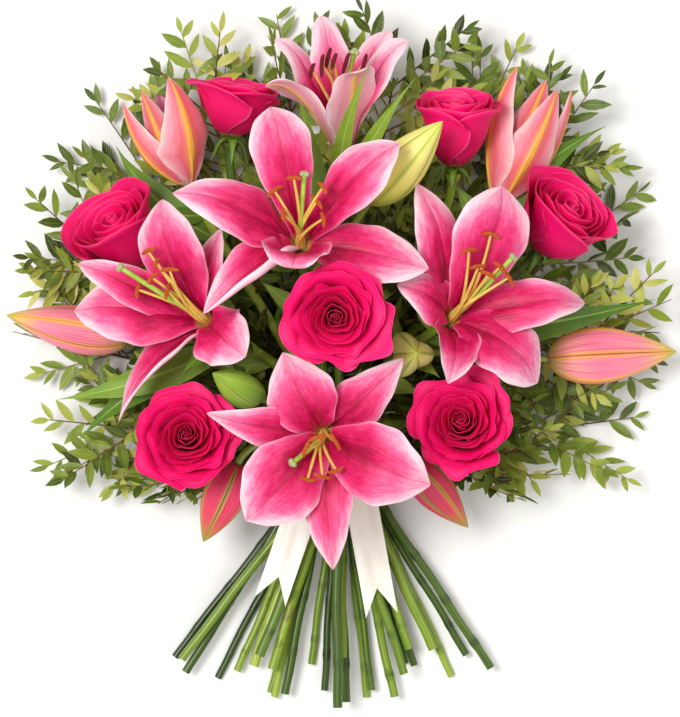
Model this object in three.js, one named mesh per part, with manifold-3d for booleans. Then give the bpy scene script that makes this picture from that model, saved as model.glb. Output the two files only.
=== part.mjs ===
// A hand-tied mixed bouquet lying on its flat back: pink lilies, crimson roses, lily buds and sprays of
// small-leaved greenery, bound with a cream satin ribbon above fanned, cut stems.
// Millimetres, +Z up. The flowers look up, the stems run towards -Y, and everything rests on z = 0.
import * as THREE from 'three';
import { mergeVertices } from 'three/addons/utils/BufferGeometryUtils.js';
import Module from 'manifold-3d';

const wasm = await Module();
wasm.setup();

// Driving sizes of the whole bouquet
const tie = [-3, -70, 0];
const clearance = 0.4;
const seatGap = 0.35;

// Driving sizes of the stems
const roseStemRadius = 3.1;
const lilyStemRadius = 3.5;
const sprayStemRadius = 2.7;
const stemGap = 0.2;
const stemsBelowTie = 180;
const fanBelowTie = 34;
const fanLean = -2;
const fanWobble = 3;

// Driving sizes of the ribbon
const ribbonWidth = 18;
const ribbonThickness = 1.2;
const bandHalfWidth = 25.6;
const bandHeight = 43;
const tailWidth = 23;
const tailDrop = 9;

// Driving sizes of the blooms and leaves
const roseRadius = 32;
const petalThickness = 1.0;
const leafThickness = 0.7;

const colours = {
  rosePetal: 0xd4104f,
  lilyPetal: 0xe8799b,
  stamen: 0xc98a3a,
  budPink: 0xe08a86,
  budGreen: 0xc3c25a,
  stem: 0x5f8f34,
  leaf: 0x5b7a3c,
  ribbon: 0xf3e9d8,
};

const vec = (p) => new THREE.Vector3(p[0], p[1], p[2]);
const mix = (a, b, t) => a + (b - a) * t;
const clamp01 = (t) => Math.min(1, Math.max(0, t));
const smooth = (t) => clamp01(t) ** 2 * (3 - 2 * clamp01(t));
// A number from 0 to 1 that depends only on the seed.
const chance = (seed) => {
  const raw = Math.sin(seed * 12.9898 + 4.1414) * 43758.5453;
  return raw - Math.floor(raw);
};

// A solid from a closed geometry whose shared corners are merged.
function solidOf(geometry) {
  const bare = geometry.index ? geometry.toNonIndexed() : geometry.clone();
  bare.deleteAttribute('normal');
  bare.deleteAttribute('uv');
  const merged = mergeVertices(bare, 1e-4);
  const corners = Array.from(merged.index.array);
  const kept = [];
  for (let i = 0; i < corners.length; i += 3) {
    const [a, b, c] = corners.slice(i, i + 3);
    if (a !== b && b !== c && c !== a) kept.push(a, b, c);
  }
  return new wasm.Manifold(new wasm.Mesh({
    numProp: 3,
    vertProperties: Float32Array.from(merged.attributes.position.array),
    triVerts: Uint32Array.from(kept),
  }));
}

const fuse = (solids) => solids.reduce((whole, next) => whole.add(next));

// The largest body of a solid; loose scraps are dropped.
const mainBody = (solid) => solid.decompose().reduce((a, b) => (b.volume() > a.volume() ? b : a));

const bouquet = new THREE.Group();
const standing = [];

// Adds a solid to the bouquet as a named mesh.
function addNode(name, solid, colour, roughness = 0.6) {
  const made = solid.getMesh();
  const positions = new Float32Array(made.numVert * 3);
  for (let i = 0; i < made.numVert; i += 1) {
    for (let k = 0; k < 3; k += 1) positions[3 * i + k] = made.vertProperties[made.numProp * i + k];
  }
  const geometry = new THREE.BufferGeometry();
  geometry.setAttribute('position', new THREE.BufferAttribute(positions, 3));
  geometry.setIndex(new THREE.BufferAttribute(made.triVerts, 1));
  geometry.computeVertexNormals();
  const material = new THREE.MeshStandardMaterial({ color: colour, roughness, metalness: 0 });
  const mesh = new THREE.Mesh(geometry, material);
  mesh.name = name;
  bouquet.add(mesh);
  standing.push({ name, solid, box: solid.boundingBox() });
}

const boxesNear = (a, b, gap) => [0, 1, 2].every(
  (k) => a.min[k] - gap < b.max[k] && b.min[k] - gap < a.max[k],
);

// True where a solid keeps its clearance from everything that stands already.
function isClear(solid, ignored = []) {
  const box = solid.boundingBox();
  return standing.every((other) => ignored.includes(other.name)
    || !boxesNear(box, other.box, clearance)
    || other.solid.minGap(solid, clearance + 0.1) > clearance);
}

// A thin closed blade around a middle surface: u runs from root to tip, s from edge to edge. Both faces
// meet at the border and are split into triangles alike, so that a waved blade doesn't cross itself.
function bladeGeometry(surface, thickness, cellsLong, cellsAcross) {
  const faces = [[], []];
  const reach = 0.01;
  for (let i = 0; i <= cellsLong; i += 1) {
    for (let j = 0; j <= cellsAcross; j += 1) {
      const u = i / cellsLong;
      const s = -1 + (2 * j) / cellsAcross;
      const point = surface(u, s);
      const onBorder = i === 0 || j === 0 || i === cellsLong || j === cellsAcross;
      const along = surface(Math.min(1, u + reach), s).sub(surface(Math.max(0, u - reach), s));
      const across = surface(u, Math.min(1, s + reach)).sub(surface(u, Math.max(-1, s - reach)));
      const normal = along.cross(across).normalize().multiplyScalar(onBorder ? 0 : thickness / 2);
      faces[0].push(point.clone().add(normal));
      faces[1].push(point.clone().sub(normal));
    }
  }
  const positions = [];
  const at = (face, i, j) => faces[face][i * (cellsAcross + 1) + j];
  const addTriangle = (face, corners) => {
    const ordered = face === 0 ? corners : [...corners].reverse();
    ordered.forEach(([i, j]) => positions.push(...at(face, i, j).toArray()));
  };
  for (let i = 0; i < cellsLong; i += 1) {
    for (let j = 0; j < cellsAcross; j += 1) {
      const cell = [[i, j], [i + 1, j], [i + 1, j + 1], [i, j + 1]];
      const first = (i < cellsLong / 2) === (j < cellsAcross / 2) ? 0 : 1;
      const turned = [0, 1, 2, 3].map((k) => cell[(k + first) % 4]);
      for (const face of [0, 1]) {
        addTriangle(face, [turned[0], turned[1], turned[2]]);
        addTriangle(face, [turned[0], turned[2], turned[3]]);
      }
    }
  }
  const geometry = new THREE.BufferGeometry();
  geometry.setAttribute('position', new THREE.BufferAttribute(new Float32Array(positions), 3));
  return geometry;
}

// A closed rod through points, with a radius at each.
function rodSolid(points, radii, sides) {
  const steps = points.length - 1;
  const rod = new THREE.CylinderGeometry(1, 1, 1, sides, steps);
  let across = new THREE.Vector3(0.31, 0.17, 0.93);
  const frames = points.map((point, i) => {
    const along = points[Math.min(i + 1, steps)].clone().sub(points[Math.max(i - 1, 0)]).normalize();
    across = across.clone().addScaledVector(along, -across.dot(along)).normalize();
    return { point, across, third: across.clone().cross(along) };
  });
  const positions = rod.attributes.position;
  for (let i = 0; i < positions.count; i += 1) {
    const step = Math.round((positions.getY(i) + 0.5) * steps);
    const { point, across: first, third } = frames[step];
    const placed = point.clone()
      .addScaledVector(first, positions.getX(i) * radii[step])
      .addScaledVector(third, positions.getZ(i) * radii[step]);
    positions.setXYZ(i, placed.x, placed.y, placed.z);
  }
  return solidOf(rod);
}

// A solid of revolution about an axis from a point: the profile is a list of [radius, height].
function turnedSolid(profile, sides, base, axis) {
  const outline = profile.map(([radius, height]) => new THREE.Vector2(radius, height));
  const geometry = new THREE.LatheGeometry(outline, sides);
  geometry.applyQuaternion(new THREE.Quaternion().setFromUnitVectors(new THREE.Vector3(0, 1, 0), axis));
  geometry.translate(base.x, base.y, base.z);
  return solidOf(geometry);
}

// One lily petal: a midrib that leaves the throat along the flower's axis and arches out to its tip,
// carrying a blade that is a channel at the throat and waves at its edges further out. The three outer
// petals leave below the three inner ones and are flatter there, so that they pass behind them.
function tepalSurface(flower, petal) {
  const base = vec(flower.base).addScaledVector(flower.axis, petal.outer ? -2 : 2.5);
  const span = vec(petal.tip).sub(base);
  const rise = span.dot(flower.axis);
  const out = span.clone().addScaledVector(flower.axis, -rise);
  const reach = out.length();
  out.normalize();
  const side = flower.axis.clone().cross(out);
  const midrib = new THREE.CubicBezierCurve3(
    base.clone().addScaledVector(out, petal.outer ? 3.4 : 2.4),
    base.clone().addScaledVector(flower.axis, petal.throat).addScaledVector(out, petal.belly),
    base.clone().addScaledVector(flower.axis, rise + petal.arch).addScaledVector(out, reach * petal.shoulder),
    base.clone().add(span),
  );
  const halfWidth = (u) => (petal.width / 2) * mix(0.1, 1, smooth(u / 0.55)) * (1 - u ** 3.4) ** 0.75;
  return (u, s) => {
    const normal = midrib.getTangent(clamp01(u)).cross(side).normalize();
    const half = halfWidth(u);
    const fold = mix(petal.channel, petal.cup, smooth(u / 0.6)) * half * s * s;
    const wave = petal.wave * Math.sin(2 * Math.PI * (1.4 * u + petal.phase) + s) * s * s * smooth(u / 0.4);
    return midrib.getPoint(clamp01(u))
      .addScaledVector(side, s * half)
      .addScaledVector(normal, fold + wave * (1 - u) + s * half * petal.roll);
  };
}

const innerPetal = {
  width: 60, throat: 26, belly: 5, arch: 12, shoulder: 0.62, channel: 0.4, cup: -0.1, wave: 3, roll: 0,
};
const outerPetal = { ...innerPetal, width: 44, arch: 8, belly: 9, channel: 0.15 };
const budPetal = {
  ...innerPetal, width: 27, throat: 24, belly: 17, arch: -22, shoulder: 1.0, cup: 0.3, wave: 0, roll: 0.1,
};

// The open and half-open lilies: where the petals join, the way the flower looks, and each petal's tip.
const lilies = [
  {
    name: 'lily_top', base: [2, 141, 84], axis: [-0.03, 0.84, 0.54], stamens: 60, spread: 0.2, anther: 11,
    petals: [
      { tip: [-46, 225, 108], width: 38, throat: 30, belly: 10, arch: 2 },
      { tip: [-14, 242, 94], outer: true, width: 36, throat: 34, arch: 0 },
      { tip: [36, 233, 92], width: 38, throat: 34, belly: 10, arch: 0 },
      { tip: [49, 222, 114], outer: true, width: 34, throat: 30, arch: 4 },
      { tip: [14, 199, 148], width: 49, throat: 24, belly: 15, arch: 2 },
      { tip: [-52, 188, 134], outer: true, width: 40, throat: 24, arch: 6 },
    ],
  },
  {
    name: 'lily_centre', base: [-27, 75, 128], axis: [-0.02, 0.42, 0.91], stamens: 50,
    petals: [
      { tip: [-48, 176, 160], width: 52, arch: 10 },
      { tip: [-116, 116, 168], outer: true, width: 49, arch: 10 },
      { tip: [41, 147, 166], outer: true, width: 49, arch: 10 },
      { tip: [60, 64, 156], width: 43, arch: -2, throat: 16, belly: 9 },
      { tip: [-94, 31, 162], width: 45, arch: 12 },
      { tip: [-32, 60, 190], outer: true, width: 38, throat: 20, arch: 6, shoulder: 0.8 },
    ],
  },
  {
    name: 'lily_left', base: [-89, 24, 96], axis: [-0.45, 0.27, 0.85], stamens: 52,
    petals: [
      { tip: [-124, 111, 132], width: 56 },
      { tip: [-84, 92, 116], outer: true, width: 29, arch: 2 },
      { tip: [-181, 64, 122], outer: true, width: 37, arch: 14 },
      { tip: [-186, 34, 104], width: 54 },
      { tip: [-157, -43, 114], outer: true, width: 36, arch: 14 },
      { tip: [-69, 4, 142], width: 43, throat: 22, arch: 4 },
    ],
  },
  {
    name: 'lily_right', base: [73, 25, 96], axis: [0.4, 0.3, 0.87], stamens: 50,
    petals: [
      { tip: [113, 120, 134], width: 60 },
      { tip: [54, 122, 124], outer: true, width: 40 },
      { tip: [177, 43, 108], outer: true, width: 43 },
      { tip: [143, -17, 116], width: 52 },
      { tip: [75, -17, 152], outer: true, width: 38, throat: 22, arch: 6 },
      { tip: [40, 52, 140], width: 45, throat: 24, arch: 4 },
    ],
  },
  {
    name: 'lily_bottom', base: [-11, -50, 104], axis: [-0.05, -0.2, 0.98], stamens: 46,
    petals: [
      { tip: [-40, 4, 146], width: 58 },
      { tip: [44, -1, 140], outer: true, width: 38 },
      { tip: [63, -88, 146], width: 60 },
      { tip: [-5, -147, 124], outer: true, width: 40 },
      { tip: [-66, -113, 140], width: 60 },
      { tip: [-90, -39, 144], outer: true, width: 34, arch: 2 },
    ],
  },
  {
    name: 'opening_bud_left', base: [-105, 121, 58], axis: [-0.4, 0.91, 0.1], half: true,
    petals: [
      { tip: [-121, 197, 78] },
      { tip: [-129, 192, 44] },
      { tip: [-152, 181, 60] },
    ],
  },
  {
    name: 'opening_bud_right', base: [113, 108, 54], axis: [0.33, 0.93, 0.14], half: true,
    petals: [
      { tip: [126, 206, 66] },
      { tip: [148, 200, 34] },
      { tip: [158, 192, 68] },
    ],
  },
];

const receptacleHeight = 7;
const receptacleDepth = 4;
const cellsOnInnerPetal = [4, 4];
const cellsOnOuterPetal = [5, 2];
const cellsOnBudPetal = [5, 2];

function lilyPetals(lily) {
  const profile = [
    [0, -receptacleDepth], [4, -receptacleDepth], [5.6, 1], [4.2, receptacleHeight], [0, receptacleHeight],
  ];
  const receptacle = turnedSolid(profile, 6, vec(lily.base), lily.axis);
  const blades = lily.petals.map((petal, k) => {
    const model = lily.half ? budPetal : (petal.outer ? outerPetal : innerPetal);
    const surface = tepalSurface(lily, { ...model, phase: 0.31 * k, ...petal });
    const cells = lily.half ? cellsOnBudPetal : (petal.outer ? cellsOnOuterPetal : cellsOnInnerPetal);
    return solidOf(bladeGeometry(surface, petalThickness, ...cells));
  });
  return mainBody(fuse([receptacle, ...blades]));
}

// A small pointed knob: an octahedron stretched along one direction.
function knobSolid(centre, along, length, width) {
  const knob = new THREE.OctahedronGeometry(1);
  knob.scale(width / 2, width / 2, length / 2);
  knob.applyQuaternion(new THREE.Quaternion().setFromUnitVectors(new THREE.Vector3(0, 0, 1), along));
  knob.translate(centre.x, centre.y, centre.z);
  return solidOf(knob);
}

// Six filaments with anthers across their ends round a pistil, joined at the bottom of the throat.
function lilyStamens(lily) {
  const length = lily.stamens;
  const start = vec(lily.base).addScaledVector(lily.axis, receptacleHeight + seatGap);
  const sideways = new THREE.Vector3(1, 0, 0).cross(lily.axis).normalize();
  const pieces = [turnedSolid([[0, 0], [3.6, 0], [3.6, 2.5], [0, 2.5]], 6, start, lily.axis)];
  const spread = (turn, reach, rise) => {
    const out = sideways.clone().applyAxisAngle(lily.axis, turn);
    return new THREE.QuadraticBezierCurve3(
      start.clone().addScaledVector(lily.axis, 1.2).addScaledVector(out, Math.min(reach, 9) * 0.24),
      start.clone().addScaledVector(lily.axis, rise * 0.7).addScaledVector(out, reach * 0.3),
      start.clone().addScaledVector(lily.axis, rise).addScaledVector(out, reach),
    );
  };
  for (let k = 0; k < 6; k += 1) {
    const turn = (Math.PI / 3) * k + 0.5;
    const filament = spread(turn, length * (lily.spread ?? 0.34), length * 0.82);
    const across = lily.axis.clone().cross(sideways.clone().applyAxisAngle(lily.axis, turn));
    pieces.push(rodSolid(filament.getPoints(1), [1, 0.8], 3));
    pieces.push(knobSolid(filament.getPoint(0.985), across, lily.anther ?? 14, 3.8));
  }
  const pistil = spread(1.2, length * 0.1, length);
  pieces.push(rodSolid(pistil.getPoints(2), [1.5, 1.3, 1.3], 4));
  pieces.push(knobSolid(pistil.getPoint(0.99), lily.axis, 5, 6));
  return mainBody(fuse(pieces));
}

// The roses: where the petals join, the way the bloom looks, its turn about that axis in degrees, and how
// slim and tall it is. The four at the rim are less open than the rest.
const roses = [
  { name: 'rose_left', base: [-139, 68, 60], axis: [-0.5, 0.68, 0.53], turn: 10, girth: 0.86, tall: 1.2 },
  { name: 'rose_top_left', base: [-77, 157, 64], axis: [0.14, 0.97, 0.18], turn: 70, girth: 0.8, tall: 1.05 },
  {
    name: 'rose_top_right', base: [80, 135, 78], axis: [0.02, 0.95, 0.32], turn: 150,
    girth: 0.78, tall: 1.25,
  },
  { name: 'rose_right', base: [141, 78, 62], axis: [0.5, 0.64, 0.58], turn: 220, girth: 0.88, tall: 1.2 },
  { name: 'rose_centre', base: [-3, 31, 129], axis: [0.0, -0.08, 1], turn: 30 },
  { name: 'rose_lower_left', base: [-107, -58, 84], axis: [0.02, 0.14, 0.99], turn: 45 },
  { name: 'rose_lower_right', base: [86, -50, 90], axis: [-0.08, 0.2, 0.98], turn: 110 },
];

// Petal layers of a rose, from the heart outwards.
const roseLayers = [
  { count: 3, cells: [2, 3], radius: 0.44, height: 50, flare: -0.08, lap: 1.6, spread: 76, twist: 0 },
  { count: 3, cells: [2, 3], radius: 0.72, height: 50, flare: 0.02, lap: 2.6, spread: 76, twist: 60 },
  { count: 4, cells: [3, 3], radius: 1.0, height: 46, flare: 0.16, lap: 3.2, spread: 62, twist: 15 },
];

// One rose petal: it stands on the base, bellies out to its layer's radius and turns out at its rim.
// One edge lies further out than the other, so that each petal laps over its neighbour.
function rosePetalSurface(layer, turn) {
  return (u, s) => {
    const angle = THREE.MathUtils.degToRad(turn + layer.spread * s);
    const swell = 0.18 + 0.82 * Math.sin((Math.PI / 2) * u ** 0.7);
    const lap = layer.lap * s * mix(0.4, 1, smooth(u / 0.4));
    const radius = roseRadius * layer.radius * (swell + layer.flare * u ** 3) + lap;
    const height = 1 + layer.height * u - 8 * s ** 4 * u - layer.flare * 26 * u ** 5;
    return new THREE.Vector3(radius * Math.cos(angle), radius * Math.sin(angle), height);
  };
}

// The rolled heart, which the petals grow from.
const roseHeart = [[0, 0], [9, 0], [2.5, 46], [0, 47]];

function roseBloom(rose) {
  const up = new THREE.Vector3(0, 0, 1);
  const pieces = [turnedSolid(roseHeart, 6, new THREE.Vector3(), up)];
  for (const layer of roseLayers) {
    for (let k = 0; k < layer.count; k += 1) {
      const surface = rosePetalSurface(layer, layer.twist + rose.turn + (360 * k) / layer.count);
      pieces.push(solidOf(bladeGeometry(surface, petalThickness, ...layer.cells)));
    }
  }
  const place = new THREE.Matrix4().compose(
    vec(rose.base),
    new THREE.Quaternion().setFromUnitVectors(up, rose.axis),
    new THREE.Vector3(rose.girth ?? 1, rose.girth ?? 1, rose.tall ?? 1),
  );
  return mainBody(fuse(pieces)).transform(place.elements);
}

// The closed lily buds, from base to tip, with their greatest radius.
const buds = [
  { name: 'bud_left', base: [-150, 15, 48], tip: [-239, 31, 40], radius: 18, colour: colours.budPink },
  { name: 'bud_right', base: [148, 0, 50], tip: [241, 5, 42], radius: 21, colour: colours.budPink },
  { name: 'bud_lower_left', base: [-72, -74, 72], tip: [-97, -130, 58], radius: 16, colour: colours.budPink },
  { name: 'bud_lower_right', base: [50, -72, 72], tip: [91, -120, 56], radius: 15, colour: colours.budPink },
  { name: 'bud_upper', base: [22, 109, 106], tip: [70, 162, 146], radius: 16, colour: colours.budGreen },
  { name: 'bud_green', base: [-56, -28, 86], tip: [-88, -10, 122], radius: 13, colour: colours.budGreen },
  { name: 'bud_small', base: [46, 2, 80], tip: [53, 4, 126], radius: 12, colour: colours.budGreen },
];

// A closed bud: a long drop of three lobes.
function budSolid(bud) {
  const start = vec(bud.base);
  const span = vec(bud.tip).sub(start);
  const length = span.length();
  const turnUp = new THREE.Quaternion().setFromUnitVectors(new THREE.Vector3(0, 0, 1), span.normalize());
  const [sides, steps] = [9, 6];
  const point = (i, k) => {
    const u = i / steps;
    const turn = (2 * Math.PI * k) / sides;
    const profile = Math.sin(Math.PI * u ** 0.82) ** 0.8 * (1 - 0.25 * u) + 0.2 * (1 - u) ** 3;
    const radius = i === steps ? 0 : bud.radius * profile * (1 + 0.07 * Math.cos(3 * turn));
    return new THREE.Vector3(radius * Math.cos(turn), radius * Math.sin(turn), u * length)
      .applyQuaternion(turnUp).add(start);
  };
  const positions = [];
  const add = (...points) => points.forEach((p) => positions.push(...p.toArray()));
  for (let i = 0; i < steps; i += 1) {
    for (let k = 0; k < sides; k += 1) {
      add(point(i, k), point(i, (k + 1) % sides), point(i + 1, (k + 1) % sides));
      if (i < steps - 1) add(point(i, k), point(i + 1, (k + 1) % sides), point(i + 1, k));
    }
  }
  for (let k = 1; k < sides - 1; k += 1) add(point(0, 0), point(0, k + 1), point(0, k));
  const geometry = new THREE.BufferGeometry();
  geometry.setAttribute('position', new THREE.BufferAttribute(new Float32Array(positions), 3));
  return solidOf(geometry);
}

for (const bloom of [...lilies, ...roses]) bloom.axis = vec(bloom.axis).normalize();
for (const bud of buds) bud.axis = vec(bud.tip).sub(vec(bud.base)).normalize();
const heads = Object.fromEntries([...lilies, ...roses, ...buds].map((head) => [head.name, head]));

// The flower stems, each with the heads that it carries. Level 0 is the lowest in the tie.
const flowerStems = [
  { name: 'stem_rose_left', level: 2, heads: ['rose_left'] },
  { name: 'stem_opening_left', level: 2, heads: ['opening_bud_left'], leaves: [[-160, 152, 44]] },
  { name: 'stem_rose_top_left', level: 2, heads: ['rose_top_left'] },
  {
    name: 'stem_lily_top', level: 2, heads: ['lily_top', 'bud_upper'],
    leaves: [[20, 202, 150], [50, 196, 118]],
  },
  { name: 'stem_rose_top_right', level: 2, heads: ['rose_top_right'] },
  { name: 'stem_opening_right', level: 2, heads: ['opening_bud_right'], leaves: [[190, 166, 44]] },
  { name: 'stem_rose_right', level: 2, heads: ['rose_right'] },
  { name: 'stem_rose_lower_left', level: 3, heads: ['rose_lower_left'] },
  {
    name: 'stem_lily_left', level: 3, heads: ['lily_left', 'bud_left', 'bud_green'],
    leaves: [[-200, -29, 62], [-186, -58, 46]],
  },
  {
    name: 'stem_lily_right', level: 3, heads: ['lily_right', 'bud_right', 'bud_small'],
    leaves: [[224, 42, 58]],
  },
  { name: 'stem_rose_lower_right', level: 3, heads: ['rose_lower_right'] },
  { name: 'stem_lily_centre', level: 4, heads: ['lily_centre'], leaves: [[-30, 190, 60]] },
  { name: 'stem_rose_centre', level: 4, heads: ['rose_centre'] },
  { name: 'stem_lily_bottom', level: 5, heads: ['lily_bottom', 'bud_lower_left', 'bud_lower_right'] },
];

// The greenery: the tip of each spray. Sprays of the lowest level lie on the surface.
const sprays = [
  { level: 0, tip: [-150, -88, 5] }, { level: 1, tip: [-202, -44, 26] },
  { level: 0, tip: [-233, 30, 2] }, { level: 1, tip: [-212, 108, 38] },
  { level: 0, tip: [-172, 180, 5] }, { level: 1, tip: [-112, 226, 36] },
  { level: 0, tip: [-44, 242, 2] }, { level: 1, tip: [46, 250, 44] },
  { level: 0, tip: [124, 218, 5] }, { level: 1, tip: [178, 190, 38] },
  { level: 0, tip: [208, 118, 2] }, { level: 1, tip: [230, 40, 36] },
  { level: 0, tip: [206, -44, 2] }, { level: 1, tip: [150, -88, 24] },
].map((spray, k) => ({ name: `spray_${String(k + 1).padStart(2, '0')}`, ...spray }));

const stemRadius = (stem) => {
  if (stem.tip) return sprayStemRadius;
  return stem.heads[0].startsWith('rose') ? roseStemRadius : lilyStemRadius;
};

// Gives each stem its place in the tie: level on level, side by side in the order of the ways they lead.
function dealStems() {
  const all = [...sprays, ...flowerStems];
  let floor = ribbonThickness + stemGap;
  for (let level = 0; level < 6; level += 1) {
    const row = all.filter((stem) => stem.level === level);
    const target = (stem) => stem.tip ?? heads[stem.heads[0]].base;
    row.sort((a, b) => Math.atan2(target(a)[0] - tie[0], target(a)[1] - tie[1])
      - Math.atan2(target(b)[0] - tie[0], target(b)[1] - tie[1]));
    const thickest = Math.max(...row.map(stemRadius));
    let x = -row.reduce((sum, stem) => sum + 2 * stemRadius(stem) + stemGap, 0) / 2;
    row.forEach((stem, k) => {
      const half = stemRadius(stem) + stemGap / 2;
      stem.place = new THREE.Vector3(tie[0] + x + half, tie[1], floor + thickest);
      // The rows fan out between one another, so that few stems hide those below them.
      const between = (2 / 3) * ((level % 3) - 1);
      stem.share = row.length > 1 ? (2 * k + 1 + between) / row.length - 1 : 0.1;
      x += 2 * half;
    });
    floor += 2 * thickest + stemGap;
  }
}

// The way of a stem: from its cut end in to the tie, straight through the tie, and up to its head.
function stemCurves(stem, seed, end, arrival) {
  const wobble = fanWobble * (chance(seed) - 0.5);
  const angle = THREE.MathUtils.degToRad(fanBelowTie * stem.share + fanLean + wobble);
  const length = stemsBelowTie * (1 - 0.2 * chance(seed + 7) ** 2);
  const away = new THREE.Vector3(Math.sin(angle), -Math.cos(angle), 0);
  const cut = stem.place.clone().addScaledVector(away, length);
  cut.z -= ((ribbonThickness + stemGap + 0.05) * length) / stemsBelowTie;
  const alongTie = new THREE.Vector3(0, ribbonWidth / 2 + 3, 0);
  const entry = stem.place.clone().sub(alongTie);
  const exit = stem.place.clone().add(alongTie);
  const gap = end.distanceTo(stem.place);
  const beforeEntry = entry.clone().addScaledVector(alongTie, -0.7);
  return [
    new THREE.CubicBezierCurve3(cut, cut.clone().lerp(entry, 0.5), beforeEntry, entry),
    new THREE.CubicBezierCurve3(
      exit,
      exit.clone().addScaledVector(alongTie, gap * 0.02),
      end.clone().addScaledVector(arrival, -gap * 0.26),
      end,
    ),
  ];
}

const stepsBelowTie = [0, 0.6, 1];
const stepsAboveTie = [0, 0.22, 0.48, 0.74];

// Points along a run that ends straight along its head's axis.
function runPoints(curve, steps, arrival) {
  const end = curve.getPoint(1);
  return [...steps.map((t) => curve.getPoint(t)), end.clone().addScaledVector(arrival, -6), end];
}

// A long plain leaf of a lily, from a point on its stem to its tip.
function lilyLeaf(root, tip, width) {
  const span = tip.clone().sub(root);
  const side = span.clone().cross(new THREE.Vector3(0, 0, 1)).normalize();
  const lift = side.clone().cross(span).normalize();
  const midrib = new THREE.QuadraticBezierCurve3(
    root,
    root.clone().addScaledVector(span, 0.5).addScaledVector(lift, span.length() * 0.16),
    tip,
  );
  const surface = (u, s) => {
    const half = (width / 2) * (0.3 + 0.7 * Math.sin(Math.PI * Math.min(1, u * 1.1) ** 0.8)) * (1 - u ** 4);
    const fold = 0.3 * half * s * s;
    return midrib.getPoint(clamp01(u)).addScaledVector(side, s * half).addScaledVector(lift, fold);
  };
  return solidOf(bladeGeometry(surface, leafThickness, 4, 2));
}

// A stem with its side branches to further heads and its leaves.
function flowerStem(stem, index) {
  const radius = stemRadius(stem);
  const first = heads[stem.heads[0]];
  const isRose = stem.heads[0].startsWith('rose');
  const under = (head) => {
    const depth = seatGap + (head.petals ? receptacleDepth : 0);
    return vec(head.base).addScaledVector(head.axis, -depth);
  };
  const curves = stemCurves(stem, index, under(first), first.axis);
  const below = stepsBelowTie.map((t) => curves[0].getPoint(t));
  const points = [...below, ...runPoints(curves[1], stepsAboveTie, first.axis)];
  const radii = points.map((_, k) => radius + (isRose && k === points.length - 1 ? 3 : 0));
  const pieces = [rodSolid(points, radii, 5)];
  stem.heads.slice(1).forEach((name, k) => {
    const head = heads[name];
    const end = under(head);
    const from = curves[1].getPoint(0.5 - 0.12 * k);
    const along = curves[1].getTangent(0.5 - 0.12 * k);
    const gap = from.distanceTo(end);
    const branch = new THREE.CubicBezierCurve3(
      from,
      from.clone().addScaledVector(along, gap * 0.35),
      end.clone().addScaledVector(head.axis, -gap * 0.35),
      end,
    );
    pieces.push(rodSolid(runPoints(branch, [0, 0.35, 0.7], head.axis), Array(5).fill(radius * 0.7), 4));
  });
  for (const tip of stem.leaves ?? []) pieces.push(lilyLeaf(curves[1].getPoint(0.8), vec(tip), 17));
  return mainBody(fuse(pieces));
}

// The outline of a feathered leaf, cut to its rib: pairs of leaflets and one at the tip.
function featherOutline(length, pairs, leaflet, halfWidth) {
  const rib = 0.75;
  const one = (x, angle) => {
    const [cos, sin] = [Math.cos(angle), Math.sin(angle)];
    const at = (t, w) => [x + cos * t * leaflet - sin * w, rib + sin * t * leaflet + cos * w];
    return [[x - rib, rib], at(0.55, halfWidth), at(1, 0), at(0.5, -halfWidth)];
  };
  const places = Array.from({ length: pairs }, (_, k) => ({
    x: (length - leaflet) * mix(0.22, 0.8, pairs > 1 ? k / (pairs - 1) : 0.5),
    angle: mix(1.05, 0.75, k / pairs),
  }));
  const end = length - leaflet;
  const upper = places.flatMap(({ x, angle }) => one(x, angle));
  const lower = [...upper].reverse().map(([x, y]) => [x + 1, -y]);
  const tip = [[end, rib], [end + leaflet * 0.5, halfWidth], [length, 0], [end + leaflet * 0.5, -halfWidth],
    [end, -rib]];
  return [[-2, rib], ...upper, ...tip, ...lower, [-2, -rib]];
}

// A feathered leaf as one thin arched blade.
function featherLeaf(leaf) {
  const outline = featherOutline(leaf.length, leaf.pairs, leaf.leaflet, leaf.halfWidth);
  const shape = new THREE.Shape(outline.map(([x, y]) => new THREE.Vector2(x, y)));
  const geometry = new THREE.ExtrudeGeometry(shape, { depth: leafThickness, bevelEnabled: false, steps: 1 });
  const side = leaf.up.clone().cross(leaf.direction).normalize();
  const positions = geometry.attributes.position;
  const point = new THREE.Vector3();
  for (let i = 0; i < positions.count; i += 1) {
    point.fromBufferAttribute(positions, i);
    const bow = leaf.bow * (point.x / leaf.length) ** 2 * leaf.length + 0.22 * Math.abs(point.y);
    const placed = leaf.root.clone()
      .addScaledVector(leaf.direction, point.x)
      .addScaledVector(side, point.y)
      .addScaledVector(leaf.up, point.z + bow);
    positions.setXYZ(i, placed.x, placed.y, placed.z);
  }
  return solidOf(geometry);
}

// Where a spray's leaves sit: place along its twig's upper run, turn, length and pairs of leaflets. Raised
// sprays have one more leaf, which fills the gaps between the blooms.
const sprayLeaves = [
  { at: 0.99, turn: 0, length: 58, pairs: 3 },
  { at: 0.86, turn: 60, length: 48, pairs: 2 },
  { at: 0.7, turn: -60, length: 48, pairs: 2 },
  { at: 0.5, turn: 55, length: 48, pairs: 2, raised: true },
];
// The ways a leaf may be rolled about its twig, in degrees, until it stands clear.
const leafRolls = [0, 25, -25, 50, -50, 80, -80];

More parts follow.
